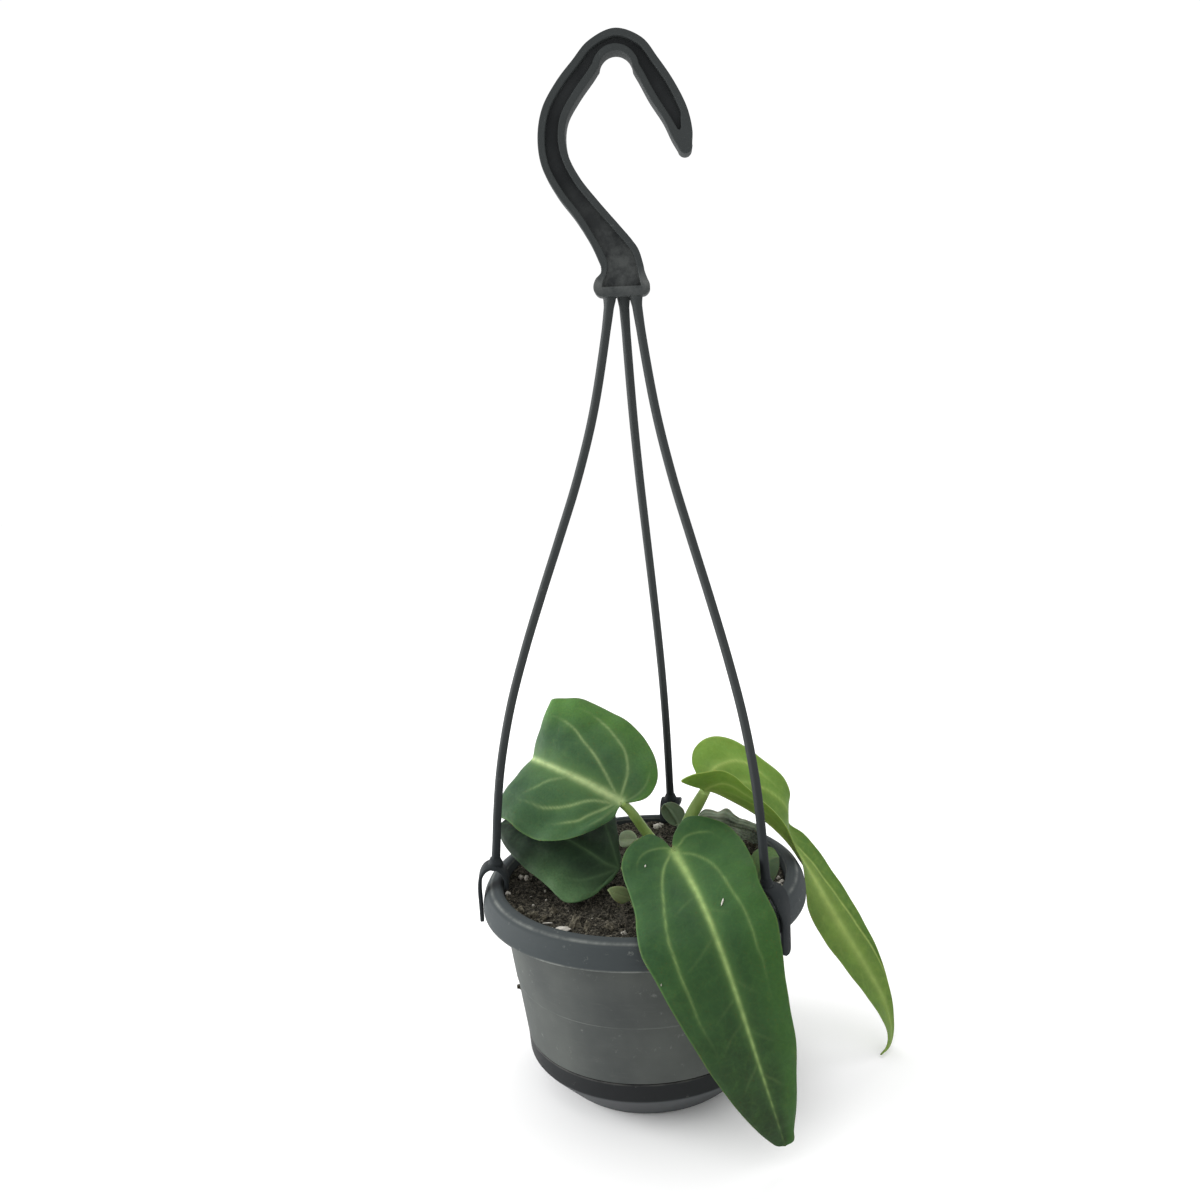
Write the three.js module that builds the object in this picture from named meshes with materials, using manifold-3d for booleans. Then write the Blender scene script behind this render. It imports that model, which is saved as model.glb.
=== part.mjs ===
import * as THREE from 'three';
import Module from 'manifold-3d';
import { mergeVertices } from 'three/addons/utils/BufferGeometryUtils.js';

// Potted anthurium villenaorum standing on its saucer, with its clip-on hanger.
// Millimetres, +Z up, pot axis on Z, origin in the middle of the saucer's foot.

const wasm = await Module();
wasm.setup();

// Pot
const POT_SEGMENTS = 64;
const COLLAR_RADIUS = 62.5;
const RIM_HEIGHT = 80.5;
const SKIRT_RADIUS = 48.6;
const SKIRT_HEIGHT = 20.5;
const POT_FLOOR_TOP = 22.5;
const FLOOR_INNER_RADIUS = 47.0;
const RIM_INNER_RADIUS = 55.0;
const DRAIN_COUNT = 6;
const DRAIN_RADIUS = 4;
const DRAIN_CIRCLE = 30;

// Saucer
const SAUCER_TOP = 20.2;
const SAUCER_BAND_BOTTOM = 13.3;
const FOOT_RADIUS = 35.8;

// Clearance between neighbouring pieces
const GAP = 0.3;

// Soil
const SOIL_LEVEL = 76.3;
const SOIL_RINGS = 9;
const SOIL_SEGMENTS = 40;
const CRUMB_COUNT = 64;
const CRUMB_SEED = 7;

// Hanger
const HOOK_DEPTH = 9;
const HOOK_WEB = 2.4;
const HOOK_WALL = 2.4;
const SEAT_CENTRE = [3.6, 371.6];
const SEAT_RADIUS = 5.8;
const SEAT_RIM = 2.8;
const STRAND_RADIUS = 1.6;
const CLIP_WIDTH = 8.5;
const CLIP_HALF_THICKNESS = 0.6;
const CLIP_ANGLES = { left: 186, right: 321, back: 78.5 };
const STRAND_ROOTS = { left: [-2.5, 0], right: [7, -1], back: [2.5, 2] };

// Leaves
const BLADE_THICKNESS = 0.8;
const BLADE_ROWS = 22;
const BLADE_COLS = 3;

// Colours
const GREY = { color: 0x50575c, roughness: 0.55, metalness: 0 };
const DARK = { color: 0x35393b, roughness: 0.6, metalness: 0 };
const BLACK = { color: 0x3a3f41, roughness: 0.5, metalness: 0 };
const EARTH = { color: 0x2b211b, roughness: 1, metalness: 0 };
const STEM = { color: 0x86a35a, roughness: 0.55, metalness: 0 };
const VELVET = { color: 0x3f6438, roughness: 0.7, metalness: 0 };
const SHADED = { color: 0x2e4a30, roughness: 0.75, metalness: 0 };
const YOUNG = { color: 0x6f9446, roughness: 0.6, metalness: 0 };
const DULL = { color: 0x56705a, roughness: 0.75, metalness: 0 };
const PAPERY = { color: 0x4c5349, roughness: 0.9, metalness: 0 };
const TWIG = { color: 0x57463a, roughness: 0.9, metalness: 0 };

// Helpers: solids in and out of the mesh joiner
function solid(geometry) {
  const plain = geometry.clone();
  plain.deleteAttribute('normal');
  plain.deleteAttribute('uv');
  const merged = mergeVertices(plain, 1e-4);
  const mesh = new wasm.Mesh({
    numProp: 3,
    vertProperties: new Float32Array(merged.attributes.position.array),
    triVerts: new Uint32Array(merged.index.array),
  });
  return new wasm.Manifold(mesh);
}

function toGeometry(manifold) {
  const mesh = manifold.getMesh();
  const geometry = new THREE.BufferGeometry();
  geometry.setAttribute('position', new THREE.BufferAttribute(new Float32Array(mesh.vertProperties), 3));
  geometry.setIndex(new THREE.BufferAttribute(new Uint32Array(mesh.triVerts), 1));
  return geometry;
}

function join(geometries) {
  return geometries.map(solid).reduce((all, next) => all.add(next));
}

// Helpers: an indexed closed mesh that always faces outward
function closedMesh(vertices, triangles) {
  let volume = 0;
  for (const [a, b, c] of triangles) {
    const cross = new THREE.Vector3().crossVectors(vertices[b], vertices[c]);
    volume += vertices[a].dot(cross);
  }
  const order = volume < 0 ? triangles.map(([a, b, c]) => [a, c, b]) : triangles;
  const geometry = new THREE.BufferGeometry();
  const position = new Float32Array(vertices.flatMap((v) => [v.x, v.y, v.z]));
  geometry.setAttribute('position', new THREE.BufferAttribute(position, 3));
  geometry.setIndex(order.flat());
  return geometry;
}

function vec(point) {
  return new THREE.Vector3(point[0], point[1], point[2]);
}

function curveThrough(points) {
  return new THREE.CatmullRomCurve3(points.map(vec), false, 'centripetal');
}

// A round limb along a curve, with its own radius at each given point
function limb(points, radii, rings = 10, sides = 8) {
  const curve = curveThrough(points);
  const frames = curve.computeFrenetFrames(rings, false);
  const vertices = [];
  const triangles = [];
  for (let i = 0; i <= rings; i += 1) {
    const along = i / rings;
    const centre = curve.getPointAt(along);
    const place = along * (radii.length - 1);
    const low = Math.min(Math.floor(place), radii.length - 2);
    const radius = THREE.MathUtils.lerp(radii[low], radii[low + 1], place - low);
    for (let j = 0; j < sides; j += 1) {
      const angle = (2 * Math.PI * j) / sides;
      const out = frames.normals[i].clone().multiplyScalar(radius * Math.cos(angle));
      out.addScaledVector(frames.binormals[i], radius * Math.sin(angle));
      vertices.push(centre.clone().add(out));
    }
  }
  for (let i = 0; i < rings; i += 1) {
    for (let j = 0; j < sides; j += 1) {
      const next = (j + 1) % sides;
      const a = i * sides + j;
      const b = i * sides + next;
      const c = a + sides;
      const d = b + sides;
      triangles.push([a, b, d], [a, d, c]);
    }
  }
  const first = vertices.push(curve.getPointAt(0)) - 1;
  const last = vertices.push(curve.getPointAt(1)) - 1;
  for (let j = 0; j < sides; j += 1) {
    const next = (j + 1) % sides;
    triangles.push([first, next, j]);
    triangles.push([last, rings * sides + j, rings * sides + next]);
  }
  return closedMesh(vertices, triangles);
}

// A leaf blade: two halves that share the midrib, each ruled from midrib to margin,
// with a cupped section and a light wave toward the margin, alike on both faces
function blade(leaf) {
  const { mid, left, right, lobe = 0.25, cup = 0, wave = 0 } = leaf;
  const rows = leaf.rows ?? BLADE_ROWS;
  const cols = leaf.cols ?? BLADE_COLS;
  const rib = curveThrough(mid);
  const tip = mid[mid.length - 1];
  const surface = [vec(mid[0])];
  const ribIndex = [0];
  const ribPlace = [];
  for (let i = 0; i <= rows; i += 1) {
    const share = i / rows;
    ribPlace.push(share <= lobe ? 0 : (share - lobe) / (1 - lobe));
  }
  for (let i = 1; i <= rows; i += 1) {
    if (ribPlace[i] === 0) {
      ribIndex.push(0);
    } else {
      ribIndex.push(surface.push(rib.getPointAt(ribPlace[i])) - 1);
    }
  }
  const tipIndex = ribIndex[rows];
  const faces = [];
  const edge = [];
  [left, right].forEach((margin, half) => {
    const outline = curveThrough([...margin, tip]);
    const grid = [];
    for (let i = 0; i < rows; i += 1) {
      const inner = surface[ribIndex[i]];
      const outer = outline.getPointAt(i / rows);
      const along = rib.getTangentAt(Math.min(ribPlace[i] + 0.001, 1));
      const across = outer.clone().sub(inner);
      const up = new THREE.Vector3().crossVectors(across, along).normalize();
      if (half === 1) up.negate();
      const row = [ribIndex[i]];
      for (let j = 1; j <= cols; j += 1) {
        const v = j / cols;
        const point = inner.clone().addScaledVector(across, v);
        const lift = cup * 4 * v * (1 - v) + wave * v * v * Math.sin(2.1 * i + half);
        point.addScaledVector(up, lift * Math.sin((Math.PI * i) / rows));
        row.push(surface.push(point) - 1);
      }
      grid.push(row);
    }
    grid.push(new Array(cols + 1).fill(tipIndex));
    const keep = (a, b, c) => {
      if (a !== b && b !== c && c !== a) faces.push(half === 0 ? [a, b, c] : [a, c, b]);
    };
    for (let i = 0; i < rows; i += 1) {
      for (let j = 0; j < cols; j += 1) {
        keep(grid[i][j], grid[i][j + 1], grid[i + 1][j + 1]);
        keep(grid[i][j], grid[i + 1][j + 1], grid[i + 1][j]);
      }
    }
    const rim = [...grid[0], ...grid.slice(1).map((row) => row[cols])];
    edge.push(half === 0 ? rim : rim.reverse());
  });
  const normals = surface.map(() => new THREE.Vector3());
  for (const [a, b, c] of faces) {
    const ab = surface[b].clone().sub(surface[a]);
    const ac = surface[c].clone().sub(surface[a]);
    const normal = ab.cross(ac);
    [a, b, c].forEach((k) => normals[k].add(normal));
  }
  const count = surface.length;
  const half = BLADE_THICKNESS / 2;
  const vertices = [];
  surface.forEach((p, k) => vertices.push(p.clone().addScaledVector(normals[k].normalize(), half)));
  surface.forEach((p, k) => vertices.push(p.clone().addScaledVector(normals[k], -half)));
  const triangles = [];
  for (const [a, b, c] of faces) {
    triangles.push([a, b, c], [a + count, c + count, b + count]);
  }
  for (const rim of edge) {
    for (let i = 0; i + 1 < rim.length; i += 1) {
      const [a, b] = [rim[i], rim[i + 1]];
      triangles.push([b, a, a + count], [b, a + count, b + count]);
    }
  }
  return closedMesh(vertices, triangles);
}

// Pot: one lathe with a rolled collar, a faint seam and drain holes
function potGeometry() {
  const profile = [
    [0, SKIRT_HEIGHT],
    [SKIRT_RADIUS, SKIRT_HEIGHT],
    [51.5, 43.8],
    [51.9, 44.4],
    [55.3, 71],
    [56.1, 76.6],
    [57.4, 77.6],
    [59.2, 76.8],
    [60.5, 75],
    [61.1, 72.8],
    [61.2, 70.9],
    [COLLAR_RADIUS, 70.9],
    [62.4, 73.6],
    [61.8, 76.4],
    [60.6, 78.6],
    [58.8, 79.9],
    [56.7, RIM_HEIGHT],
    [55.6, 80.4],
    [RIM_INNER_RADIUS, 79.7],
    [FLOOR_INNER_RADIUS, POT_FLOOR_TOP],
    [0, POT_FLOOR_TOP],
  ];
  let pot = solid(lathe(profile, POT_SEGMENTS));
  for (let i = 0; i < DRAIN_COUNT; i += 1) {
    const angle = (2 * Math.PI * i) / DRAIN_COUNT;
    const drain = new THREE.CylinderGeometry(DRAIN_RADIUS, DRAIN_RADIUS, 6, 16);
    drain.rotateX(Math.PI / 2);
    drain.translate(DRAIN_CIRCLE * Math.cos(angle), DRAIN_CIRCLE * Math.sin(angle), SKIRT_HEIGHT + 1);
    pot = pot.subtract(solid(drain));
  }
  return toGeometry(pot);
}

function lathe(profile, segments) {
  const geometry = new THREE.LatheGeometry(profile.map(([r, z]) => new THREE.Vector2(r, z)), segments);
  geometry.rotateX(Math.PI / 2);
  return geometry;
}

// Saucer: a dish with an upright band, a conical underside and a flat foot
function saucerGeometry() {
  const profile = [
    [0, 0],
    [FOOT_RADIUS, 0],
    [37.4, 1.4],
    [46.9, 11.6],
    [48.2, SAUCER_BAND_BOTTOM],
    [48.6, SAUCER_TOP],
    [46.4, SAUCER_TOP],
    [45.7, 13.6],
    [35.4, 2.4],
    [0, 2.4],
  ];
  return toGeometry(solid(lathe(profile, POT_SEGMENTS)));
}

// Seeded random numbers for the soil crumbs
function randomFrom(seed) {
  let state = seed;
  return () => {
    state = (state + 0x6d2b79f5) | 0;
    let t = Math.imul(state ^ (state >>> 15), 1 | state);
    t = (t + Math.imul(t ^ (t >>> 7), 61 | t)) ^ t;
    return ((t ^ (t >>> 14)) >>> 0) / 4294967296;
  };
}

function soilHeight(x, y) {
  const rise = 0.5 * Math.sin(0.17 * x + 1.3) * Math.cos(0.21 * y - 0.4);
  return SOIL_LEVEL + rise + 0.3 * Math.sin(0.5 * x - 0.37 * y);
}

function soilGeometry() {
  const slope = (RIM_INNER_RADIUS - FLOOR_INNER_RADIUS) / (79.7 - POT_FLOOR_TOP);
  const bottom = POT_FLOOR_TOP + GAP;
  const bottomRadius = FLOOR_INNER_RADIUS - GAP - 0.1;
  const topRadius = bottomRadius + slope * (SOIL_LEVEL - bottom);
  const vertices = [new THREE.Vector3(0, 0, soilHeight(0, 0))];
  const triangles = [];
  const at = (ring, k) => 1 + (ring - 1) * SOIL_SEGMENTS + (k % SOIL_SEGMENTS);
  for (let ring = 1; ring <= SOIL_RINGS + 1; ring += 1) {
    for (let k = 0; k < SOIL_SEGMENTS; k += 1) {
      const angle = (2 * Math.PI * k) / SOIL_SEGMENTS;
      const low = ring > SOIL_RINGS;
      const radius = low ? bottomRadius : (topRadius * ring) / SOIL_RINGS;
      const x = radius * Math.cos(angle);
      const y = radius * Math.sin(angle);
      vertices.push(new THREE.Vector3(x, y, low ? bottom : soilHeight(x, y)));
    }
  }
  const under = vertices.push(new THREE.Vector3(0, 0, bottom)) - 1;
  for (let k = 0; k < SOIL_SEGMENTS; k += 1) {
    triangles.push([0, at(1, k), at(1, k + 1)]);
    for (let ring = 1; ring <= SOIL_RINGS; ring += 1) {
      triangles.push([at(ring, k), at(ring + 1, k), at(ring + 1, k + 1)]);
      triangles.push([at(ring, k), at(ring + 1, k + 1), at(ring, k + 1)]);
    }
    triangles.push([under, at(SOIL_RINGS + 1, k + 1), at(SOIL_RINGS + 1, k)]);
  }
  return closedMesh(vertices, triangles);
}

function crumbs(keepClear) {
  const random = randomFrom(CRUMB_SEED);
  const grains = [];
  while (grains.length < CRUMB_COUNT) {
    const radius = 49 * Math.sqrt(random());
    const angle = 2 * Math.PI * random();
    const size = 0.9 + 1.2 * random();
    const x = radius * Math.cos(angle);
    const y = radius * Math.sin(angle);
    const clear = keepClear.every(([cx, cy, r]) => Math.hypot(x - cx, y - cy) > r + size + 1);
    const grain = new THREE.IcosahedronGeometry(size, 0);
    grain.rotateX(6 * random());
    grain.rotateZ(6 * random());
    grain.scale(1, 1, 0.8);
    grain.translate(x, y, soilHeight(x, y) - 0.25 * size);
    if (clear) grains.push(grain);
  }
  return grains;
}

// Hanger hook: centreline [x, z, width] from the foot over the top to the blunt tip
const HOOK_LINE = [
  [2.8, 306, 14.3],
  [2.2, 308.8, 14.5],
  [0.5, 312, 13.8],
  [-3.1, 317.9, 11.8],
  [-8.7, 325.9, 10.1],
  [-14.8, 334.2, 9.9],
  [-18.8, 342.4, 10],
  [-19.7, 350.3, 9.5],
  [-18.1, 358.1, 9.2],
  [-13.3, 365.7, 9.1],
  [-7.9, 372, 8.7],
  [-3, 377.4, 8.4],
  [4, 380.5, 8.2],
  [10.2, 377.9, 8.7],
  [14.4, 372.1, 9.1],
  [19, 364.4, 10],
  [23.4, 356.4, 9],
  [25.6, 349, 6.7],
  [26.5, 344.2, 4.4],
];

// Foot of the hook: a plate with a knob at each side, [x, z] round its outline, and its pocket
const FOOT_OUTLINE = [
  [-4.6, 309],
  [-4.2, 307],
  [-5, 304.7],
  [-6.9, 302.8],
  [-7.9, 300.4],
  [-7.7, 298.5],
  [-6.3, 296.9],
  [-4.6, 296.5],
  [8.9, 296.5],
  [10.6, 296.9],
  [11.9, 298.1],
  [12.1, 300],
  [11.4, 302],
  [10.5, 304.8],
  [10.1, 307],
  [9.4, 309],
];
const FOOT_POCKET = [
  [-4.2, 314.5],
  [-2.6, 309.8],
  [-1.9, 307],
  [-2.4, 300],
  [8.4, 300],
  [7.8, 306],
  [6.6, 311.6],
];

// Outline of a band along a centreline, without its first and last few points
function ribbon(line, inset, skipFirst, skipLast) {
  const points = line.slice(skipFirst, line.length - skipLast);
  const left = [];
  const right = [];
  points.forEach(([x, z, width], i) => {
    const before = points[Math.max(i - 1, 0)];
    const after = points[Math.min(i + 1, points.length - 1)];
    const length = Math.hypot(after[0] - before[0], after[1] - before[1]);
    const nx = -(after[1] - before[1]) / length;
    const nz = (after[0] - before[0]) / length;
    const half = width / 2 - inset;
    left.push([x + nx * half, z + nz * half]);
    right.push([x - nx * half, z - nz * half]);
  });
  return [...left, ...right.reverse()];
}

function plate(outline, depth) {
  const shape = new THREE.Shape(outline.map(([x, z]) => new THREE.Vector2(x, z)));
  const geometry = new THREE.ExtrudeGeometry(shape, { depth, bevelEnabled: false });
  geometry.rotateX(Math.PI / 2);
  return geometry;
}

function slab(outline, depth, y = 0) {
  const geometry = plate(outline, depth);
  geometry.translate(0, y + depth / 2, 0);
  return solid(geometry);
}

function roundBar(radius, depth, [x, z]) {
  const bar = new THREE.CylinderGeometry(radius, radius, depth, 24);
  bar.translate(x, 0, z);
  return solid(bar);
}

function hookGeometry() {
  const [tipX, tipZ, tipWidth] = HOOK_LINE[HOOK_LINE.length - 1];
  const tip = roundBar(tipWidth / 2, HOOK_DEPTH, [tipX, tipZ]);
  const body = slab(ribbon(HOOK_LINE, 0, 0, 0), HOOK_DEPTH).add(tip);
  const recess = (HOOK_DEPTH - HOOK_WEB) / 2 + 1;
  const pockets = [-1, 1].flatMap((side) => {
    const y = (side * (HOOK_WEB + recess)) / 2;
    return [slab(ribbon(HOOK_LINE, HOOK_WALL, 2, 1), recess, y), slab(FOOT_POCKET, recess, y)];
  });
  const seatRim = body.intersect(roundBar(SEAT_RADIUS + SEAT_RIM, HOOK_DEPTH, SEAT_CENTRE));
  const whole = body.add(slab(FOOT_OUTLINE, HOOK_DEPTH));
  const hollow = pockets.reduce((left, pocket) => left.subtract(pocket), whole);
  return toGeometry(hollow.add(seatRim).subtract(roundBar(SEAT_RADIUS, HOOK_DEPTH + 2, SEAT_CENTRE)));
}

// Strand: distance from the axis by height, the same S-curve for all three
const STRAND_LINE = [
  [295.9, 0],
  [275, 4],
  [254, 9],
  [232, 16],
  [211, 24],
  [190, 32.2],
  [169, 40],
  [148, 46.8],
  [126, 52],
  [108, 54.7],
  [96, 56],
  [87.6, 57],
];

// Clip: centreline of its band, [distance from the axis, height], outer leg to inner leg
const CLIP_LINE = [
  [63.4, 66],
  [63.4, 80],
  [62.7, 84.2],
  [60.6, 86.8],
  [57.6, 87.4],
  [55, 85.8],
  [53.4, 82.6],
  [53.2, 78.6],
];

function strandGeometry(name) {
  const angle = THREE.MathUtils.degToRad(CLIP_ANGLES[name]);
  const [rootX, rootY] = STRAND_ROOTS[name];
  const top = STRAND_LINE[0][0];
  const low = STRAND_LINE[STRAND_LINE.length - 1][0];
  const route = STRAND_LINE.map(([z, r]) => {
    const stay = (z - low) / (top - low);
    const x = rootX * stay + r * Math.cos(angle);
    const y = rootY * stay + r * Math.sin(angle);
    return [x, y, z];
  });
  const strand = limb(route, [STRAND_RADIUS, STRAND_RADIUS], 20, 8);
  const band = plate(ribbonOf(CLIP_LINE, CLIP_HALF_THICKNESS), CLIP_WIDTH);
  band.translate(0, CLIP_WIDTH / 2, 0);
  band.rotateZ(angle);
  const boss = new THREE.IcosahedronGeometry(2.9, 1);
  boss.scale(1, 1, 0.7);
  boss.translate(57 * Math.cos(angle), 57 * Math.sin(angle), 88);
  return toGeometry(join([strand, band, boss]));
}

function ribbonOf(line, half) {
  return ribbon(line.map(([r, z]) => [r, z, 2 * half]), 0, 0, 0);
}

// Leaf A: upper left, arches over the back of the pot
const LEAF_A = {
  mid: [[-7.4, -6, 110.3], [-15.3, -4, 114.8], [-25, 1, 118.6], [-34.4, 8, 120.7], [-42, 17, 121],
    [-44.5, 34, 115], [-49, 48, 101], [-52, 58, 86]],
  left: [[-5.5, -6, 109.9], [-0.6, -6, 110.4], [2.9, -4, 111.1], [6.1, 0, 114.4], [7, 3, 118.1],
    [5.4, 9, 124.3], [0.5, 15, 130.8], [-5.4, 19, 135.3], [-12.5, 23, 138.6], [-21.9, 27, 142.1],
    [-28.6, 30, 142.4], [-35, 33, 141.5], [-38, 45, 135], [-43, 57, 122], [-49, 63, 105]],
  right: [[-8.1, -8, 109.5], [-10.1, -10, 106], [-15.1, -12, 103.5], [-21.5, -14, 101.4],
    [-27.9, -14, 99.7], [-35, -12, 98.4], [-40.9, -9, 98.2], [-47.4, -5, 100.5], [-51.5, -1.5, 103],
    [-55, 1.5, 103.6], [-57.2, 5, 104.8], [-56.6, 11, 105.4], [-56, 24, 101], [-56, 37, 96],
    [-54, 50, 90]],
  lobe: 0.24,
  cup: 1.2,
  wave: 0.35,
};

// Leaf B: dark, low, under leaf A and over the rim at the left
const LEAF_B = {
  mid: [[-9.4, -8, 84.3], [-14.2, -9, 87], [-20.2, -7, 90.8], [-28.8, -2, 94.4], [-38.3, 5, 96.1],
    [-48.8, 11, 96.7], [-57.4, 15, 95.5]],
  left: [[-9, -6, 85.8], [-8.7, -2, 87.3], [-9.9, 2, 89.4], [-10.7, 8, 92.8], [-11.1, 14, 97.2],
    [-13.9, 18, 100.4], [-21.3, 21, 102.2], [-31.5, 22, 102.7], [-41.6, 21, 101.4], [-51.7, 19, 98.8]],
  right: [[-10.1, -10, 83.6], [-12.3, -14, 82.3], [-14.8, -18, 81.8], [-19.5, -23, 80.4],
    [-24.5, -25, 79.6], [-28.7, -24, 79.3], [-32.2, -21, 80.4], [-36.6, -16, 82.7], [-45.3, -8, 86.3],
    [-51.3, -1, 89.3], [-54.6, 4, 91.1], [-56.9, 10, 92.9]],
  lobe: 0.24,
  cup: 0.8,
  wave: 0.3,
};

// Leaf C: long front leaf, bends over the collar and hangs down in front of the pot
const LEAF_C = {
  mid: [[11.9, -24, 97], [17.3, -37.2, 91.4], [21.6, -51.2, 86.9], [25.7, -63.9, 79.6],
    [30.1, -71.5, 67.2], [34.2, -73.8, 52.6], [38, -73.2, 37.8], [41.7, -71.1, 23.1],
    [45.2, -68, 8.5]],
  left: [[10.6, -23.1, 97.5], [4.1, -16.5, 101.1], [-0.5, -17, 100.2], [-5.3, -20.4, 97.4],
    [-7.3, -24.6, 94.3], [-6.8, -29.9, 90.8], [-4.4, -38.2, 87.3], [-2.4, -48.2, 84.4],
    [-2, -56.4, 82.8], [-0.3, -66, 78.5], [3.9, -71.8, 73.2], [8.2, -75.6, 65.8],
    [14.5, -77.8, 54.6], [21.8, -77.6, 40.7], [32.2, -73.9, 22.7], [39.4, -70.4, 12.5]],
  right: [[12, -22.6, 98], [11.6, -20.5, 99.3], [13, -16.4, 102.3], [16.6, -12.5, 105.3],
    [20.3, -12.3, 105.9], [26.1, -14.1, 105.4], [31.5, -16.9, 104.1], [36, -23, 101.4],
    [38.6, -31, 99.2], [40.3, -39, 97], [41.1, -46.1, 93.8], [45.5, -57.9, 86.2],
    [46.2, -63.7, 79.3], [47.7, -69.5, 61.8], [49.5, -70.2, 49.2], [49.5, -70, 36.9],
    [49.4, -69.2, 26.7], [48.4, -67.9, 14.2]],
  lobe: 0.2,
  cup: 0.6,
  wave: 0.2,
};

// Leaf D: young leaf at the right, folded along its midrib and drooping outside the pot
const LEAF_D = {
  mid: [[24.9, 2, 110.8], [28.4, 2, 109.8], [35.7, 3, 105.4], [41.9, 4, 101.1], [47.3, 5, 96.7],
    [52.8, 6, 91.1], [57.9, 7, 84.6], [61.9, 8, 77.7], [66.9, 8, 69.4], [70.8, 8, 62], [74.5, 7, 54.6],
    [81.8, 6, 41.5], [87.9, 5, 30.4], [92.8, 4, 20.3], [95.4, 3, 12], [95.8, 0.5, 6], [94.7, -2.5, 2.8],
    [90.2, -6.9, 1]],
  left: [[24.3, 4, 112.5], [21.9, 8, 115.7], [20.5, 12, 119], [21.7, 17, 122.7], [25.5, 20, 125.3],
    [30.4, 22, 126.1], [36.5, 23, 124.3], [42.9, 24, 120.3], [48.1, 24, 115.8], [54.5, 24, 110.5],
    [58.3, 23, 105.9], [60.1, 22, 100.7], [59, 20, 95.5], [58.6, 18, 89.9], [62, 17, 85],
    [67, 16, 78.8], [72.4, 15, 71.2], [79, 14, 62.7], [84.4, 13, 54.7], [88.8, 11, 45.9],
    [93.6, 9, 35], [96.5, 6, 23.4], [97.9, 4.5, 13.2], [97.6, 2.5, 6.5], [95.9, -1, 2.6],
    [93, -5, 1.3]],
  right: [[23.3, -1, 112.7], [19, -7, 116.3], [15.7, -11, 119.4], [20.2, -13, 122.6],
    [25.8, -13, 123.1], [31.1, -12, 122.9], [35.9, -11, 120.4], [40.4, -9, 115.2], [45.1, -6, 109.5],
    [50.6, -3, 103.3], [55.4, 0, 95.5], [59.3, 2, 86.2], [62.4, 3, 77.4], [63.5, 4, 67.2],
    [64.1, 4, 58.7], [70, 2, 46.2], [75.6, 1, 37.9], [81.3, 0, 29.6], [88.2, -1, 19.5], [92.1, -1.5, 15.3],
    [94.1, -2, 8.5], [93.9, -3.5, 4.2], [92.3, -5.5, 1.9]],
  lobe: 0.14,
  cup: 0,
  wave: 0,
  rows: 30,
};

// Leaf E: small leaf behind leaf C at the right
const LEAF_E = {
  mid: [[41.7, -26, 82.5], [43.9, -24, 87.7], [46.7, -22, 91.4], [50.7, -20, 91.5]],
  left: [[41, -25.6, 83.2], [39.3, -25, 86], [39.3, -23, 90.6], [41.4, -21, 94.3], [45.3, -19, 95.3],
    [48.6, -19, 94.7]],
  right: [[42.6, -25.8, 82.8], [44.4, -26, 82.6], [46.6, -25, 83], [48.6, -24, 85.2], [50.3, -22, 88.1]],
  lobe: 0.15,
  cup: 0.4,
  rows: 10,
  cols: 2,
};

// Small grey-green leaf in front of the back clip
const LEAF_BACK = {
  mid: [[14.1, 47, 79.2], [12.5, 47, 82.6], [10.5, 47, 86.2], [8.5, 46, 89.3]],
  left: [[13.5, 46.8, 79.4], [11.7, 46, 79.8], [9.9, 46, 81.1], [7.8, 46, 83.9], [7.1, 46, 87.1]],
  right: [[14.8, 47.1, 79.4], [16.4, 47.2, 80.2], [17.3, 48, 81.8], [17, 49, 85.1], [14.1, 49, 88],
    [11.1, 48, 89.4]],
  lobe: 0.12,
  cup: 0.4,
  rows: 10,
  cols: 2,
};

// Withered papery leaf at the back right, over the soil
const LEAF_WITHERED = {
  mid: [[23.3, 32, 85.1], [28.3, 32, 85.8], [33.7, 31, 84.6], [38.9, 29, 83.4], [43.6, 25, 83],
    [48, 20, 81.8]],
  left: [[22.9, 32.8, 85.9], [23, 34.4, 87.6], [25.8, 37, 89.7], [30.8, 37, 88.6], [35.4, 36, 89.6],
    [38.5, 33, 87.6], [43.6, 29, 86.7], [47, 25, 86.4], [49.3, 20.8, 84.8]],
  right: [[23.3, 31, 84.7], [23.9, 28, 83.6], [27.9, 26, 82.9], [32.8, 25, 82.7], [37.6, 23, 82.4],
    [42.3, 20, 81.7], [45.7, 18.4, 80.8]],
  lobe: 0.12,
  cup: -0.6,
  wave: 0.5,
  rows: 14,
  cols: 2,
};

// Sheath leaf beside the crown
const LEAF_SHEATH = {
  mid: [[-2.5, 3, 91.4], [-5.6, 5, 90.9], [-8.1, 7, 90.2], [-9.4, 8.4, 90]],
  left: [[-2.3, 3.8, 92.3], [-4.3, 6.5, 93.5], [-6.6, 8, 93.3], [-8.8, 8.8, 92]],
  right: [[-3.2, 2.5, 90.8], [-5.6, 3.5, 88.6], [-7.7, 5, 87.6], [-9.2, 7, 88]],
  lobe: 0.15,
  cup: 0.4,
  rows: 10,
  cols: 2,
};

// Small yellow-green young leaf under leaf B
const LEAF_YOUNG = {
  mid: [[-4.6, -26, 80.9], [-7.8, -27, 82.1], [-10.6, -28, 83.9], [-12.9, -28, 85.3]],
  left: [[-4.4, -25.5, 82.2], [-6.6, -25, 84.4], [-9.2, -25.5, 85.2], [-11.6, -27, 85.6]],
  right: [[-5, -27, 80.2], [-7.9, -28.5, 79.7], [-10.3, -29.5, 81.7], [-12, -29, 84]],
  lobe: 0.15,
  cup: 0.3,
  rows: 10,
  cols: 2,
};

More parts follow.
